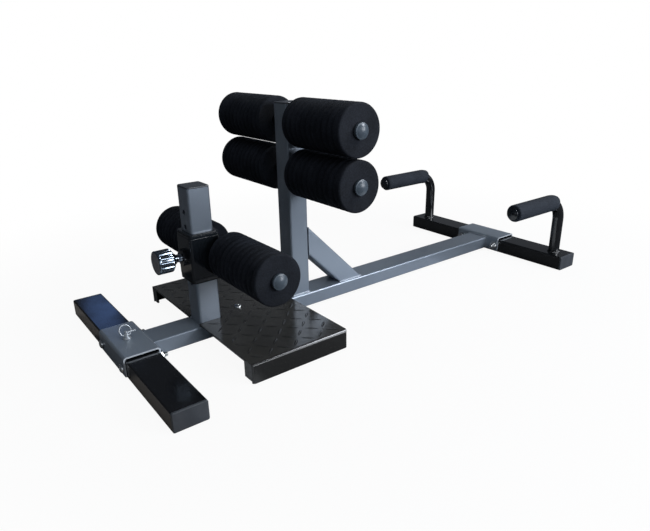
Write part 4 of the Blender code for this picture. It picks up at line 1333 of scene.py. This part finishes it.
@dataclass
class PullPin:
    """The fluted knob, its plunger and the threaded barrel on the carriage."""

    axis_z: float = 0.171
    wall_y: float = -0.392
    knob_radius: float = 0.0224
    knob_back: float = 0.019
    knob_length: float = 0.038
    back_radius: float = 0.0092
    recess: float = 0.0080
    recess_floor: float = 0.0078
    recess_depth: float = 0.008
    face_sink: float = 0.0006
    flutes: int = 18
    flute_points: int = 8
    flute_depth: float = 0.0017
    barrel_radius: float = 0.0075
    barrel_front: float = 0.018
    barrel_back: float = 0.0068
    barrel_bore: float = 0.0052
    lip: float = 0.002
    thread_from: float = 0.0025
    thread_to: float = 0.0085
    thread_pitch: float = 0.00125
    stem: float = 0.003
    stem_length: float = 0.030
    stem_gap: float = 0.0003
    shoulder: float = 0.0047
    shoulder_start: float = 0.0002
    shoulder_end: float = 0.0057
    tip: float = 0.0035
    tip_end: float = 0.0072

    def build(self, palette: Palette) -> None:
        """Makes the knob, the plunger and the barrel.

        Args:
            palette: the finishes.
        """
        self.build_knob(palette)
        self.build_plunger(palette)
        self.build_barrel(palette)

    def build_plunger(self, palette: Palette) -> None:
        """Makes the rod, from inside the knob to its tip in the sleeve.

        Args:
            palette: the finishes.
        """
        start = -self.knob_back - self.stem_length
        profile = [(0.0, start), (self.stem, start), (self.stem, self.shoulder_start),
                   (self.shoulder, self.shoulder_start + 0.001), (self.shoulder, self.shoulder_end),
                   (self.tip, self.tip_end), (0.0, self.tip_end)]
        bm = bmesh.new()
        turn_profile(bm, profile, (0.0, self.wall_y, self.axis_z), (0, 1, 0), 32)
        plunger = add_mesh("plunger_rod", bm, palette.of(Slot.CHROME))
        place(plunger, "pull_pin", Slot.CHROME, "pop_pin_plunger")

    def build_barrel(self, palette: Palette) -> None:
        """Makes the barrel, with its thread outside and its lip round the stem.

        Args:
            palette: the finishes.
        """
        front, mouth = -self.barrel_front, self.stem + self.stem_gap
        count = int((self.barrel_front - self.thread_from - self.thread_to) / self.thread_pitch)
        turns = thread(self.barrel_radius, front + self.thread_from, self.thread_pitch, count)
        profile = [(mouth, front), (self.barrel_radius - 0.001, front), (self.barrel_radius, front + 0.001),
                   *turns, (self.barrel_radius, -self.thread_to), (self.barrel_radius, self.barrel_back),
                   (self.barrel_bore, self.barrel_back), (self.barrel_bore, front + self.lip),
                   (mouth, front + self.lip)]
        bm = bmesh.new()
        turn_profile(bm, profile, (0.0, self.wall_y, self.axis_z), (0, 1, 0), 36, closed=True)
        barrel = add_mesh("threaded_barrel", bm, palette.of(Slot.CHROME), 20)
        place(barrel, "carriage", Slot.CHROME, "pop_pin_barrel")

    def fluted(self, radius: float, depth: float) -> list[Pair]:
        """Works out the knob's outline at one ring.

        Args:
            radius: the outside radius.
            depth: how deep the flutes are there.

        Returns:
            The outline.
        """
        dips = []
        for point in range(self.flute_points):
            phase = point / self.flute_points
            in_flute = 0.13 < phase < 0.87
            dips.append(max(0.0, math.sin(math.pi * (phase * 1.35 - 0.175))) if in_flute else 0.0)
        return polar([radius - depth * dip for dip in dips] * self.flutes)

    def build_knob(self, palette: Palette) -> None:
        """Makes the knob from rings that go from round to fluted and back.

        Args:
            palette: the finishes.
        """
        centre = Vector((0.0, self.wall_y, self.axis_z))
        u, v = Vector((1, 0, 0)), Vector((0, 0, 1))
        back, front = self.knob_back, self.knob_back + self.knob_length
        neck, big, deep = self.back_radius, self.knob_radius, self.flute_depth
        steps = [(self.recess_floor, 0.0, back + self.recess_depth), (self.recess, 0.0, back),
                 (neck, 0.0, back), (neck + 0.0008, 0.0, back + 0.0006), (neck + 0.0010, 0.0, back + 0.0025),
                 (big - 0.0040, 0.0, back + 0.0072), (big - 0.0012, deep * 0.5, back + 0.0092),
                 (big - 0.0003, deep, back + 0.0105), (big, deep, back + 0.0120),
                 (big, deep, front - 0.0052), (big - 0.0002, deep * 0.8, front - 0.0042),
                 (big, 0.0, front - 0.0034), (big, 0.0, front - 0.0014), (big - 0.0004, 0.0, front - 0.0005),
                 (big - 0.0014, 0.0, front), (big - 0.0030, 0.0, front),
                 (big - 0.0034, 0.0, front - self.face_sink)]
        bm = bmesh.new()
        loops = [ring_of(bm, centre + Vector((0, -along, 0)), u, v, self.fluted(radius, depth))
                 for radius, depth, along in steps]
        for first, second in zip(loops, loops[1:]):
            bridge(bm, first, second)
        for loop, (_, _, along) in ((loops[0], steps[0]), (loops[-1], steps[-1])):
            fan(bm, bm.verts.new(centre + Vector((0, -along, 0))), loop)
        # Painted shade on the fluted side and painted light on the front face, from a darker and a paler copy
        # of the chrome.
        knob = add_mesh("fluted_knob", bm, palette.knob_side, 28)
        knob.data.materials.append(palette.knob_face)
        face_y = self.wall_y - front + 0.0009
        for face in knob.data.polygons:
            if face.center.y < face_y and (face.center - centre).xz.length < big - 0.0032:
                face.material_index = 1
        place(knob, "pull_pin", Slot.CHROME, "pop_pin_knob")


@dataclass
class LiftPin:
    """The front bracket's lift-out pin with its finger bar, and the wire ring in its head."""

    y: float = -0.5195
    shank: float = 0.004
    bottom: float = 0.020
    seat: float = 0.0415
    collar: float = 0.0075
    head: float = 0.0045
    neck: float = 0.003
    neck_z: float = 0.0520
    top: float = 0.0565
    eye_z: float = 0.0475
    bar_z: float = 0.0539
    bar_radius: float = 0.0018
    bar_length: float = 0.018
    bar_round: float = 0.0005
    ring_radius: float = 0.0103
    ring_wire: float = 0.0014
    ring_sag: float = 0.0005
    ring_turn: float = math.radians(90)
    ring_lean: float = math.radians(-30)

    def build(self, palette: Palette) -> None:
        """Makes the pin and the ring.

        Args:
            palette: the finishes.
        """
        self.build_pin(palette)
        self.build_ring(palette)

    def build_pin(self, palette: Palette) -> None:
        """Makes the pin, with its collar, head and finger bar.

        Args:
            palette: the finishes.
        """
        seat, collar, head, neck = self.seat, self.collar, self.head, self.neck
        profile = [(0.0, self.bottom), (self.shank * 0.7, self.bottom), (self.shank, self.bottom + 0.0015),
                   (self.shank, seat), (collar - 0.0003, seat), (collar, seat + 0.0004),
                   (collar, seat + 0.0016), (collar - 0.0006, seat + 0.0021), (head + 0.0006, seat + 0.0026),
                   (head, seat + 0.0034), (head, self.neck_z - 0.0015), (head - 0.0003, self.neck_z - 0.0011),
                   (neck, self.neck_z), (neck, self.top - 0.0007), (neck - 0.0007, self.top), (0.0, self.top)]
        bar = [(0.0, 0.0), (self.bar_radius, 0.0), (self.bar_radius, self.bar_length - self.bar_round),
               (self.bar_radius - self.bar_round, self.bar_length), (0.0, self.bar_length)]
        bm = bmesh.new()
        turn_profile(bm, profile, (0, self.y, 0), (0, 0, 1), 36)
        turn_profile(bm, bar, (0, self.y, self.bar_z), (0, 1, 0), 20)
        pin = add_mesh("lift_out_pin", bm, palette.pin_chrome)
        place(pin, "lift_pin", Slot.CHROME, "lock_pin")

    def build_ring(self, palette: Palette) -> None:
        """Makes the wire ring, which leans in the pin's eye.

        Args:
            palette: the finishes.
        """
        along = Vector((math.cos(self.ring_turn), math.sin(self.ring_turn), 0))
        lean = along.cross(Vector((0, 0, 1)))
        up = Vector((0, 0, 1)) * math.cos(self.ring_lean) + lean * math.sin(self.ring_lean)
        centre = Vector((0, self.y, self.eye_z)) + up * (self.ring_radius - self.ring_sag)
        across = along.cross(up)
        stations = []
        for a, b in round_outline(1.0, 64):
            outward = along * a + up * b
            stations.append((centre + outward * self.ring_radius, outward.cross(across), self.ring_wire))
        bm = bmesh.new()
        sweep(bm, stations, across, 14)
        ring = add_mesh("wire_pull_ring", bm, palette.pin_chrome)
        place(ring, "ring", Slot.CHROME, "pull_ring")


@dataclass
class BracketFasteners:
    """The button-headed bolts and lock nuts of both brackets."""

    gap: float = 0.0003
    spacing: float = 0.112
    height: float = 0.0175
    shank: float = 0.005
    head_radius: float = 0.0085
    head_height: float = 0.0048
    head_side: float = 0.0012
    socket: float = 0.0031
    socket_floor: float = 0.0018
    end: float = 0.0145
    tip_cut: float = 0.0008
    thread_inset: float = 0.002
    thread_pitch: float = 0.0015
    flats: float = 0.0165
    nut_height: float = 0.008
    nut_sides: int = 48
    flange_radius: float = 0.0105
    flange: float = 0.0013

    def build(self, palette: Palette, trees: GeometryTrees) -> None:
        """Makes a bolt and a nut template, and puts each on the four places.

        Args:
            palette: the finishes.
            trees: the geometry trees.
        """
        zinc = palette.of(Slot.ZINC)
        spots = [(side * self.spacing / 2, end * FOOT_BAR_Y, self.height)
                 for side in SIDES.values() for end in ENDS.values()]
        for kind, template in (("bolt", self.bolt_template(zinc)), ("nut", self.nut_template(zinc))):
            bm = bmesh.new()
            for spot in spots:
                bm.verts.new(spot)
            piece = add_mesh(f"bracket_{kind}s", bm, zinc)
            trees.run(piece, trees.repeat, Template=template, Finish=zinc)
            bpy.data.objects.remove(template, do_unlink=True)
            names = [f"{end}_bracket_{kind}_{word}" for end in ENDS for word in SIDES]
            place(piece, "machine", Slot.ZINC, *names)

    def bolt_template(self, zinc: bpy.types.Material) -> bpy.types.Object:
        """Makes a bolt about the origin, with its socket head towards -Y.

        Args:
            zinc: its finish.

        Returns:
            The bolt.
        """
        face = BRACKET_REACH + self.gap
        floor, side = face + self.socket_floor, face + self.head_side
        crown = (self.head_height - self.head_side) / math.sin(math.radians(62))
        profile = [(0.0, floor), (self.socket, floor),
                   (self.socket + 0.0003, face + self.head_height - 0.0002),
                   (self.socket + 0.0009, face + self.head_height)]
        profile += dome(self.head_radius, side, crown, (60, 48, 36, 24, 12))
        profile += [(self.head_radius, side - 0.0002), (self.head_radius - 0.0002, face), (self.shank, face)]
        turns = int((self.end + self.thread_inset) / self.thread_pitch)
        profile += thread(self.shank, self.thread_inset - face, -self.thread_pitch, turns)
        profile += [(self.shank - self.tip_cut, -face - self.end), (0.0, -face - self.end)]
        bm = bmesh.new()
        turn_profile(bm, profile, (0, 0, 0), (0, -1, 0), 30)
        return add_mesh("bolt_template", bm, zinc, 25)

    def hexagon(self, limit: float) -> list[Pair]:
        """Works out the nut's outline at one ring.

        Args:
            limit: the radius that its corners are cut to.

        Returns:
            The outline.
        """
        radii = []
        for i in range(self.nut_sides):
            from_flat = (math.tau * i / self.nut_sides) % (math.pi / 3) - math.pi / 6
            radii.append(min(self.flats / 2 / math.cos(from_flat), limit))
        return polar(radii)

    def nut_template(self, zinc: bpy.types.Material) -> bpy.types.Object:
        """Makes a lock nut about the origin, on the +Y side.

        Args:
            zinc: its finish.

        Returns:
            The nut.
        """
        seat = BRACKET_REACH + self.gap
        u, v = Vector((1, 0, 0)), Vector((0, 0, 1))
        corner, half, tall = self.flats / math.sqrt(3), self.flats / 2, self.nut_height
        bore, wide = self.shank + self.gap, self.flange_radius
        rounds = [(bore, 0.0), (wide - 0.0003, 0.0), (wide, 0.0003), (wide, self.flange - 0.0002),
                  (wide - 0.0004, self.flange)]
        steps = [(round_outline(radius, self.nut_sides), along) for radius, along in rounds]
        steps += [(self.hexagon(corner), self.flange + 0.0004), (self.hexagon(corner), tall * 0.62),
                  (self.hexagon(half + 0.0002), tall * 0.72)]
        collar = [(half - 0.0012, tall * 0.76), (half - 0.0012, tall * 0.93), (half - 0.0020, tall),
                  (bore, tall)]
        steps += [(round_outline(radius, self.nut_sides), along) for radius, along in collar]
        bm = bmesh.new()
        loops = [ring_of(bm, Vector((0, seat + along, 0)), u, v, outline) for outline, along in steps]
        for first, second in zip(loops, loops[1:] + loops[:1]):
            bridge(bm, first, second)
        return add_mesh("nut_template", bm, zinc, 25)


@dataclass
class PushUpHandle:
    """A bent handle tube, its foam grip and its domed plug."""

    word: str
    foot_z: float = 0.0353
    z: float = 0.170
    radius: float = 0.0131
    wall: float = 0.002
    bend: float = 0.050
    bend_steps: int = 20
    front: float = 0.323
    grip_radius: float = 0.0201
    grip_bore: float = 0.0134
    grip_front: float = 0.3233
    grip_wrap: float = math.radians(21)
    grip_edge: float = 0.0035
    wrap_steps: int = 8
    straight_steps: int = 30
    rim_steps: int = 6

    @property
    def x(self) -> float:
        """Returns the handle's place across the machine."""
        return HANDLE_X * SIDES[self.word]

    def bend_at(self, angle: float) -> tuple[Vector, Vector]:
        """Follows the bend of the tube.

        Args:
            angle: how far along the bend, 0 at its foot.

        Returns:
            The point and the direction there.
        """
        centre = Vector((self.x, FOOT_BAR_Y - self.bend, self.z - self.bend))
        outward = Vector((0, math.cos(angle), math.sin(angle)))
        return centre + outward * self.bend, Vector((0, -math.sin(angle), math.cos(angle)))

    def build(self, palette: Palette) -> None:
        """Makes the tube, the grip and the plug.

        Args:
            palette: the finishes.
        """
        path = [(Vector((self.x, FOOT_BAR_Y, self.foot_z)), Vector((0, 0, 1)))]
        path += [self.bend_at(math.pi / 2 * k / self.bend_steps) for k in range(self.bend_steps + 1)]
        path.append((Vector((self.x, self.front, self.z)), Vector((0, -1, 0))))
        bore = self.radius - self.wall
        stations = [(point, direction, self.radius) for point, direction in path]
        stations += [(point, direction, bore) for point, direction in reversed(path)]
        bm = bmesh.new()
        sweep(bm, stations, Vector((1, 0, 0)), 44)
        tube = add_mesh(f"bent_handle_{self.word}", bm, palette.of(Slot.BLACK_PAINT))
        place(tube, "machine", Slot.BLACK_PAINT, f"handle_{self.word}")
        self.build_grip(palette)
        # Painted shade: the plug takes a black copy of the plug plastic.
        plug = DomedPlug().build(f"domed_handle_plug_{self.word}", (self.x, self.front, self.z), (0, -1, 0),
                                 bore, palette.handle_plug)
        place(plug, "machine", Slot.GREY_PLASTIC, f"handle_plug_{self.word}")

    def grip_rim(self, point: Vector, direction: Vector) -> list[Station]:
        """Works out the rounded rim at one mouth of the grip.

        Args:
            point: the middle of the mouth.
            direction: the way out of it.

        Returns:
            The stations, from the grip's body out to the mouth.
        """
        rim = []
        for step in range(self.rim_steps + 1):
            angle = math.pi / 2 * step / self.rim_steps
            inset = self.grip_edge * (1 - math.sin(angle))
            radius = self.grip_radius - self.grip_edge * (1 - math.cos(angle))
            rim.append((point - direction * inset, direction, radius))
        return rim

    def build_grip(self, palette: Palette) -> None:
        """Makes the foam grip, with soft rims at both mouths.

        Args:
            palette: the finishes.
        """
        start = math.pi / 2 - self.grip_wrap
        path = [self.bend_at(start + self.grip_wrap * k / self.wrap_steps)
                for k in range(self.wrap_steps + 1)]
        straight = path[-1][0].y
        for k in range(1, self.straight_steps + 1):
            y = straight + (self.grip_front - straight) * k / self.straight_steps
            path.append((Vector((self.x, y, self.z)), Vector((0, -1, 0))))
        (tail, tail_way), (mouth, mouth_way) = path[0], path[-1]
        tail_rim = [(point, -way, radius) for point, way, radius in self.grip_rim(tail, -tail_way)]
        body = [(point, way, self.grip_radius) for point, way in path[1:-1]
                if min((point - tail).length, (point - mouth).length) > self.grip_edge]
        bore = [(point, way, self.grip_bore) for point, way in reversed(path)]
        bm = bmesh.new()
        sweep(bm, tail_rim[::-1] + body + self.grip_rim(mouth, mouth_way) + bore, Vector((1, 0, 0)), 56)
        # Painted light: the grip takes a lighter, bluer copy of the roller foam.
        grip = add_mesh(f"foam_grip_{self.word}", bm, palette.grip_foam, 60)
        place(grip, "machine", Slot.FOAM, f"handle_grip_{self.word}")


@dataclass(frozen=True)
class Bead:
    """One weld bead, laid along a line."""

    name: str
    line: list[Point]
    radius: float
    slot: Slot = Slot.GREY_PAINT
    plain: bool = False
    spacing: float = 0.75
    flatness: float = 0.62
    seed: int = 4

    def lay(self, palette: Palette, trees: GeometryTrees) -> None:
        """Lays the bead. A plain one is painted like the tubes beside it; the others on grey paint take a
        lighter, glossier copy of it as a painted highlight.

        Args:
            palette: the finishes.
            trees: the geometry trees.
        """
        # Painted highlight: beads on grey paint take the lighter weld paint, unless plain.
        painted_highlight = self.slot is Slot.GREY_PAINT and not self.plain
        finish = palette.weld_paint if painted_highlight else palette.of(self.slot)
        bm = bmesh.new()
        verts = [bm.verts.new(point) for point in self.line]
        for a, b in zip(verts, verts[1:]):
            bm.edges.new((a, b))
        piece = add_mesh(self.name, bm, finish)
        trees.run(piece, trees.weld, Spacing=self.radius * self.spacing, Bead_Radius=self.radius,
                  Flatness=self.flatness, Seed=self.seed, Finish=finish)
        place(piece, "machine", self.slot)


@dataclass
class Welds:
    """The weld beads that show, round the posts, the brace, the brackets and the handles."""

    beam_top: float = 0.0342
    post_off: float = 0.0006
    post_inset: float = 0.002
    post_bead: float = 0.0023
    brace_off: float = 0.0004
    brace_foot_length: float = 0.0636
    brace_foot_inset: float = 0.001
    brace_foot_bead: float = 0.0019
    brace_top_length: float = 0.0626
    brace_top_inset: float = 0.002
    brace_top_bead: float = 0.0013
    bracket_half: float = 0.0302
    bracket_low: float = 0.008
    bracket_side_top: float = 0.0335
    bracket_top: float = 0.0345
    bracket_corner: float = 0.028
    bracket_bead: float = 0.0016
    handle_radius: float = 0.0137
    handle_z: float = 0.0355
    handle_bead: float = 0.0021

    def build(self, palette: Palette, trees: GeometryTrees) -> None:
        """Lays every bead.

        Args:
            palette: the finishes.
            trees: the geometry trees.
        """
        for bead in (*self.on_posts(), *self.on_brace(), *self.on_brackets(), *self.on_handles()):
            bead.lay(palette, trees)

    def on_posts(self) -> list[Bead]:
        """Works out the beads along both sides of each post's foot.

        Returns:
            The beads.
        """
        beads = []
        for name, y in (("short_post", SHORT_POST_Y), ("tall_post", TALL_POST_Y)):
            for word, side in SIDES.items():
                x = side * (POST_HALF + self.post_off)
                line = [(x, y - POST_HALF + self.post_inset, self.beam_top),
                        (x, y + POST_HALF - self.post_inset, self.beam_top)]
                beads.append(Bead(f"{name}_weld_{word}", line, self.post_bead))
        return beads

    def on_brace(self) -> list[Bead]:
        """Works out the beads at the brace's foot and top.

        Returns:
            The beads.
        """
        low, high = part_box("brace")
        top = high.z - self.brace_top_inset
        beads = []
        for word, side in SIDES.items():
            x = side * (POST_HALF + self.brace_off)
            foot = [(x, high.y - self.brace_foot_length, self.beam_top),
                    (x, high.y - self.brace_foot_inset, self.beam_top)]
            wall = [(x, low.y, top), (x, low.y, high.z - self.brace_top_length)]
            beads.append(Bead(f"brace_foot_weld_{word}", foot, self.brace_foot_bead))
            beads.append(Bead(f"brace_top_weld_{word}", wall, self.brace_top_bead, plain=True))
        return beads

    def on_brackets(self) -> list[Bead]:
        """Works out the bead round the beam at each bracket.

        Returns:
            The beads.
        """
        right = [(self.bracket_corner, self.bracket_top), (self.bracket_half, self.bracket_side_top),
                 (self.bracket_half, self.bracket_low)]
        outline = [(-x, z) for x, z in reversed(right)] + right
        beads = []
        for end, sign in ENDS.items():
            line = [(x, sign * (FOOT_BAR_Y - BRACKET_REACH), z) for x, z in outline]
            beads.append(Bead(f"{end}_beam_weld", line, self.bracket_bead))
        return beads

    def on_handles(self) -> list[Bead]:
        """Works out the bead round each handle's foot.

        Returns:
            The beads.
        """
        beads = []
        for word, side in SIDES.items():
            ring = [(side * HANDLE_X + a, FOOT_BAR_Y + b, self.handle_z)
                    for a, b in round_outline(self.handle_radius, 40)]
            beads.append(Bead(f"handle_weld_{word}", ring + ring[:1], self.handle_bead, Slot.BLACK_PAINT))
        return beads


# Studio


PLAIN_FLOOR: Colour = (0.135, 0.138, 0.145)
SEEN_FLOOR: Colour = (0.9, 0.9, 0.9)
DIM_ROOM: Colour = (0.045, 0.050, 0.060)
REAR_SIDE: Colour = (0.15, 0.16, 0.18)
RIGHT_SIDE: Colour = (0.80, 0.88, 1.0)
FILL: Colour = (0.86, 0.93, 1.0)
COOL: Colour = (0.95, 0.985, 1.04)


@dataclass(frozen=True)
class FloorPatch:
    """A card that lies on the floor beside the machine, for its faces to mirror."""

    low: Pair
    high: Pair
    border: float
    colour: Colour

    def lay(self, board: NodeBoard, x: Socket, y: Socket, under: Colour | Socket) -> Socket:
        """Lays the card over the floor's colour.

        Args:
            board: the floor's board.
            x: the place across the machine.
            y: the place along it.
            under: the floor's colour.

        Returns:
            The colour with the card on it.
        """
        edges = []
        for value, low, high in ((x, self.low[0], self.high[0]), (y, self.low[1], self.high[1])):
            edges.append(board.ramp(value, low - self.border, low))
            edges.append(board.ramp(value, high, high + self.border, 1.0, 0.0))
        mask = edges[0]
        for edge in edges[1:]:
            mask = board.maths("MULTIPLY", mask, edge)
        return board.mix(mask, under, self.colour)


FLOOR_PATCHES: tuple[FloorPatch, ...] = (
    FloorPatch((-0.40, -0.60), (-0.15, -0.53), 0.03, (0.40, 0.365, 0.335)),
    FloorPatch((0.08, -0.60), (0.40, -0.53), 0.03, (0.40, 0.365, 0.335)),
    FloorPatch((0.035, -0.48), (0.30, -0.38), 0.03, (0.95, 0.97, 1.0)),
    FloorPatch((0.035, -0.20), (0.12, 0.30), 0.03, (0.62, 0.645, 0.69)),
    FloorPatch((0.15, -0.10), (0.33, 0.32), 0.04, (0.95, 0.98, 1.0)),
)


@dataclass(frozen=True)
class Lamp:
    """One soft lamp, aimed at the machine."""

    name: str
    spot: Point
    size: Pair
    power: float
    colour: Colour
    mirrored: bool = True
    lights: bool = True
    aim: Point = (0.0, -0.1, 0.15)

    def hang(self) -> None:
        """Makes the lamp."""
        data = bpy.data.lights.new(self.name, "AREA")
        data.shape = "RECTANGLE"
        data.size, data.size_y = self.size
        data.energy = self.power
        data.color = self.colour
        lamp = bpy.data.objects.new(self.name, data)
        lamp.location = self.spot
        lamp.visible_glossy = self.mirrored
        lamp.visible_diffuse = self.lights
        ahead = Vector(self.aim) - Vector(self.spot)
        lamp.rotation_euler = ahead.to_track_quat("-Z", "Y").to_euler()
        bpy.context.scene.collection.objects.link(lamp)


LAMPS: tuple[Lamp, ...] = (
    Lamp("key", (1.9, 1.0, 0.85), (1.3, 0.9), 35.0, COOL),
    Lamp("side", (1.9, -0.1, 0.9), (1.0, 1.0), 4.8, COOL, mirrored=False),
    Lamp("edge", (0.9, 1.35, 2.0), (0.9, 0.9), 62.0, (0.93, 0.97, 1.05), lights=False),
    Lamp("top", (0.2, -0.4, 2.0), (1.2, 1.2), 7.5, (0.95, 0.98, 1.0), mirrored=False),
    Lamp("back", (-2.2, 1.5, 1.5), (2.0, 2.0), 22.0, (0.92, 0.96, 1.0), mirrored=False),
    Lamp("front", (-0.8, -2.6, 1.3), (2.0, 1.6), 1.4, (1.0, 0.97, 0.93), mirrored=False),
    Lamp("window", (-2.6, 0.07, 1.14), (0.2, 0.3), 0.16, (0.22, 0.42, 1.0)),
)


@dataclass(frozen=True)
class Studio:
    """The camera, the floor, the world and the lamps."""

    target: Point = (0.0036, -0.0656, 0.0751)
    distance: float = 1.2639
    azimuth: float = 52.9
    elevation: float = 20.7
    roll: float = -1.0
    lens: float = 30.97
    sensor: float = 36.0
    clip: Pair = (0.05, 200.0)
    floor_radius: float = 60.0
    floor_drop: float = 0.0002
    fade: Pair = (0.5, 1.3)
    white_near: float = 0.93
    fill_strength: float = 0.13

    def build(self) -> None:
        """Makes everything that isn't the machine."""
        bpy.context.scene.view_settings.view_transform = "Standard"
        self.build_camera()
        self.build_floor()
        self.build_world()
        for lamp in LAMPS:
            lamp.hang()

    def build_camera(self) -> None:
        """Puts the camera at the photograph's angle."""
        turn, climb, roll = (math.radians(angle) for angle in (self.azimuth, self.elevation, self.roll))
        back = Vector((math.sin(turn) * math.cos(climb), -math.cos(turn) * math.cos(climb), math.sin(climb)))
        level = Vector((math.cos(turn), math.sin(turn), 0))
        right = level * math.cos(roll) + back.cross(level) * math.sin(roll)
        data = bpy.data.cameras.new("camera")
        data.lens = self.lens
        data.sensor_width = self.sensor
        data.sensor_fit = "HORIZONTAL"
        data.clip_start, data.clip_end = self.clip
        camera = bpy.data.objects.new("camera", data)
        matrix = Matrix((right, back.cross(right), back)).transposed().to_4x4()
        matrix.translation = Vector(self.target) + back * self.distance
        camera.matrix_world = matrix
        bpy.context.scene.collection.objects.link(camera)
        bpy.context.scene.camera = camera

    def build_floor(self) -> None:
        """Makes a wide pale floor that keeps the shadow and runs out to white."""
        bm = bmesh.new()
        bmesh.ops.create_circle(bm, cap_ends=True, segments=64, radius=self.floor_radius)
        mesh = bpy.data.meshes.new("floor")
        bm.to_mesh(mesh)
        bm.free()
        floor = bpy.data.objects.new("floor", mesh)
        floor.location.z = -self.floor_drop
        bpy.context.scene.collection.objects.link(floor)
        material = bpy.data.materials.new("pale_floor")
        material.use_nodes = True
        material.node_tree.nodes.clear()
        board = NodeBoard(material.node_tree)
        seen = board.add("ShaderNodeLightPath").outputs["Is Camera Ray"]
        where = board.where()
        x, y, _ = board.split(where)
        colour = PLAIN_FLOOR
        for patch in FLOOR_PATCHES:
            colour = patch.lay(board, x, y, colour)
        matt = board.add("ShaderNodeBsdfDiffuse", Color=board.mix(seen, colour, SEEN_FLOOR))
        white = board.add("ShaderNodeEmission", Color=(1, 1, 1, 1), Strength=1.0)
        share = board.ramp(board.length(where), *self.fade, self.white_near, 1.0)
        mixed = board.add("ShaderNodeMixShader", i0=board.maths("MULTIPLY", seen, share),
                          i1=matt.outputs[0], i2=white.outputs[0])
        board.add("ShaderNodeOutputMaterial", Surface=mixed.outputs[0])
        mesh.materials.append(material)

    def build_world(self) -> None:
        """Makes a white surround for the camera, a dim room for reflections and a low even fill."""
        world = bpy.data.worlds.new("studio")
        world.use_nodes = True
        bpy.context.scene.world = world
        world.node_tree.nodes.clear()
        board = NodeBoard(world.node_tree)
        path = board.add("ShaderNodeLightPath").outputs
        way = board.split(board.add("ShaderNodeTexCoord").outputs["Generated"])
        low = board.ramp(way[2], 0.10, 0.62, 1.0, 0.0)
        to_rear = board.maths("MULTIPLY", board.ramp(way[1], 0.15, 0.6), low)
        to_right = board.maths("MULTIPLY", board.ramp(way[0], 0.1, 0.8), low)
        room = board.mix(to_right, board.mix(to_rear, DIM_ROOM, REAR_SIDE), RIGHT_SIDE)
        white = board.add("ShaderNodeBackground", Color=(1, 1, 1, 1), Strength=1.0)
        mirrored = board.add("ShaderNodeBackground", Color=room, Strength=1.0)
        fill = board.add("ShaderNodeBackground", Color=(*FILL, 1), Strength=self.fill_strength)
        shiny = board.maths("MAXIMUM", path["Is Glossy Ray"], path["Is Transmission Ray"])
        first = board.add("ShaderNodeMixShader", i0=shiny, i1=fill.outputs[0], i2=mirrored.outputs[0])
        second = board.add("ShaderNodeMixShader", i0=path["Is Camera Ray"], i1=first.outputs[0],
                           i2=white.outputs[0])
        board.add("ShaderNodeOutputWorld", Surface=second.outputs[0])


def main() -> None:
    """Builds the finishes, the pieces and the studio."""
    logging.basicConfig(level=logging.INFO, format="%(message)s")
    palette = Palette()
    trees = GeometryTrees()
    RigidNodes().build(palette)
    bars = (
        RollerBar("ankle", "carriage", axis_y=-0.3192, axis_z=0.1685, inner=0.043, outer=0.210),
        RollerBar("upper", "machine", axis_y=TALL_POST_Y, axis_z=0.3994, inner=0.042, outer=0.214,
                  fuller=0.0008),
        RollerBar("lower", "machine", axis_y=TALL_POST_Y, axis_z=0.3022, inner=0.042, outer=0.214,
                  fuller=0.0006),
    )
    for bar in bars:
        bar.build(palette, trees)
    TreadPlate().build(palette, trees)
    PlateScrew().build(palette)
    PullPin().build(palette)
    LiftPin().build(palette)
    BracketFasteners().build(palette, trees)
    for word in SIDES:
        PushUpHandle(word).build(palette)
    Welds().build(palette, trees)
    Studio().build()


if __name__ == "__main__":
    main()
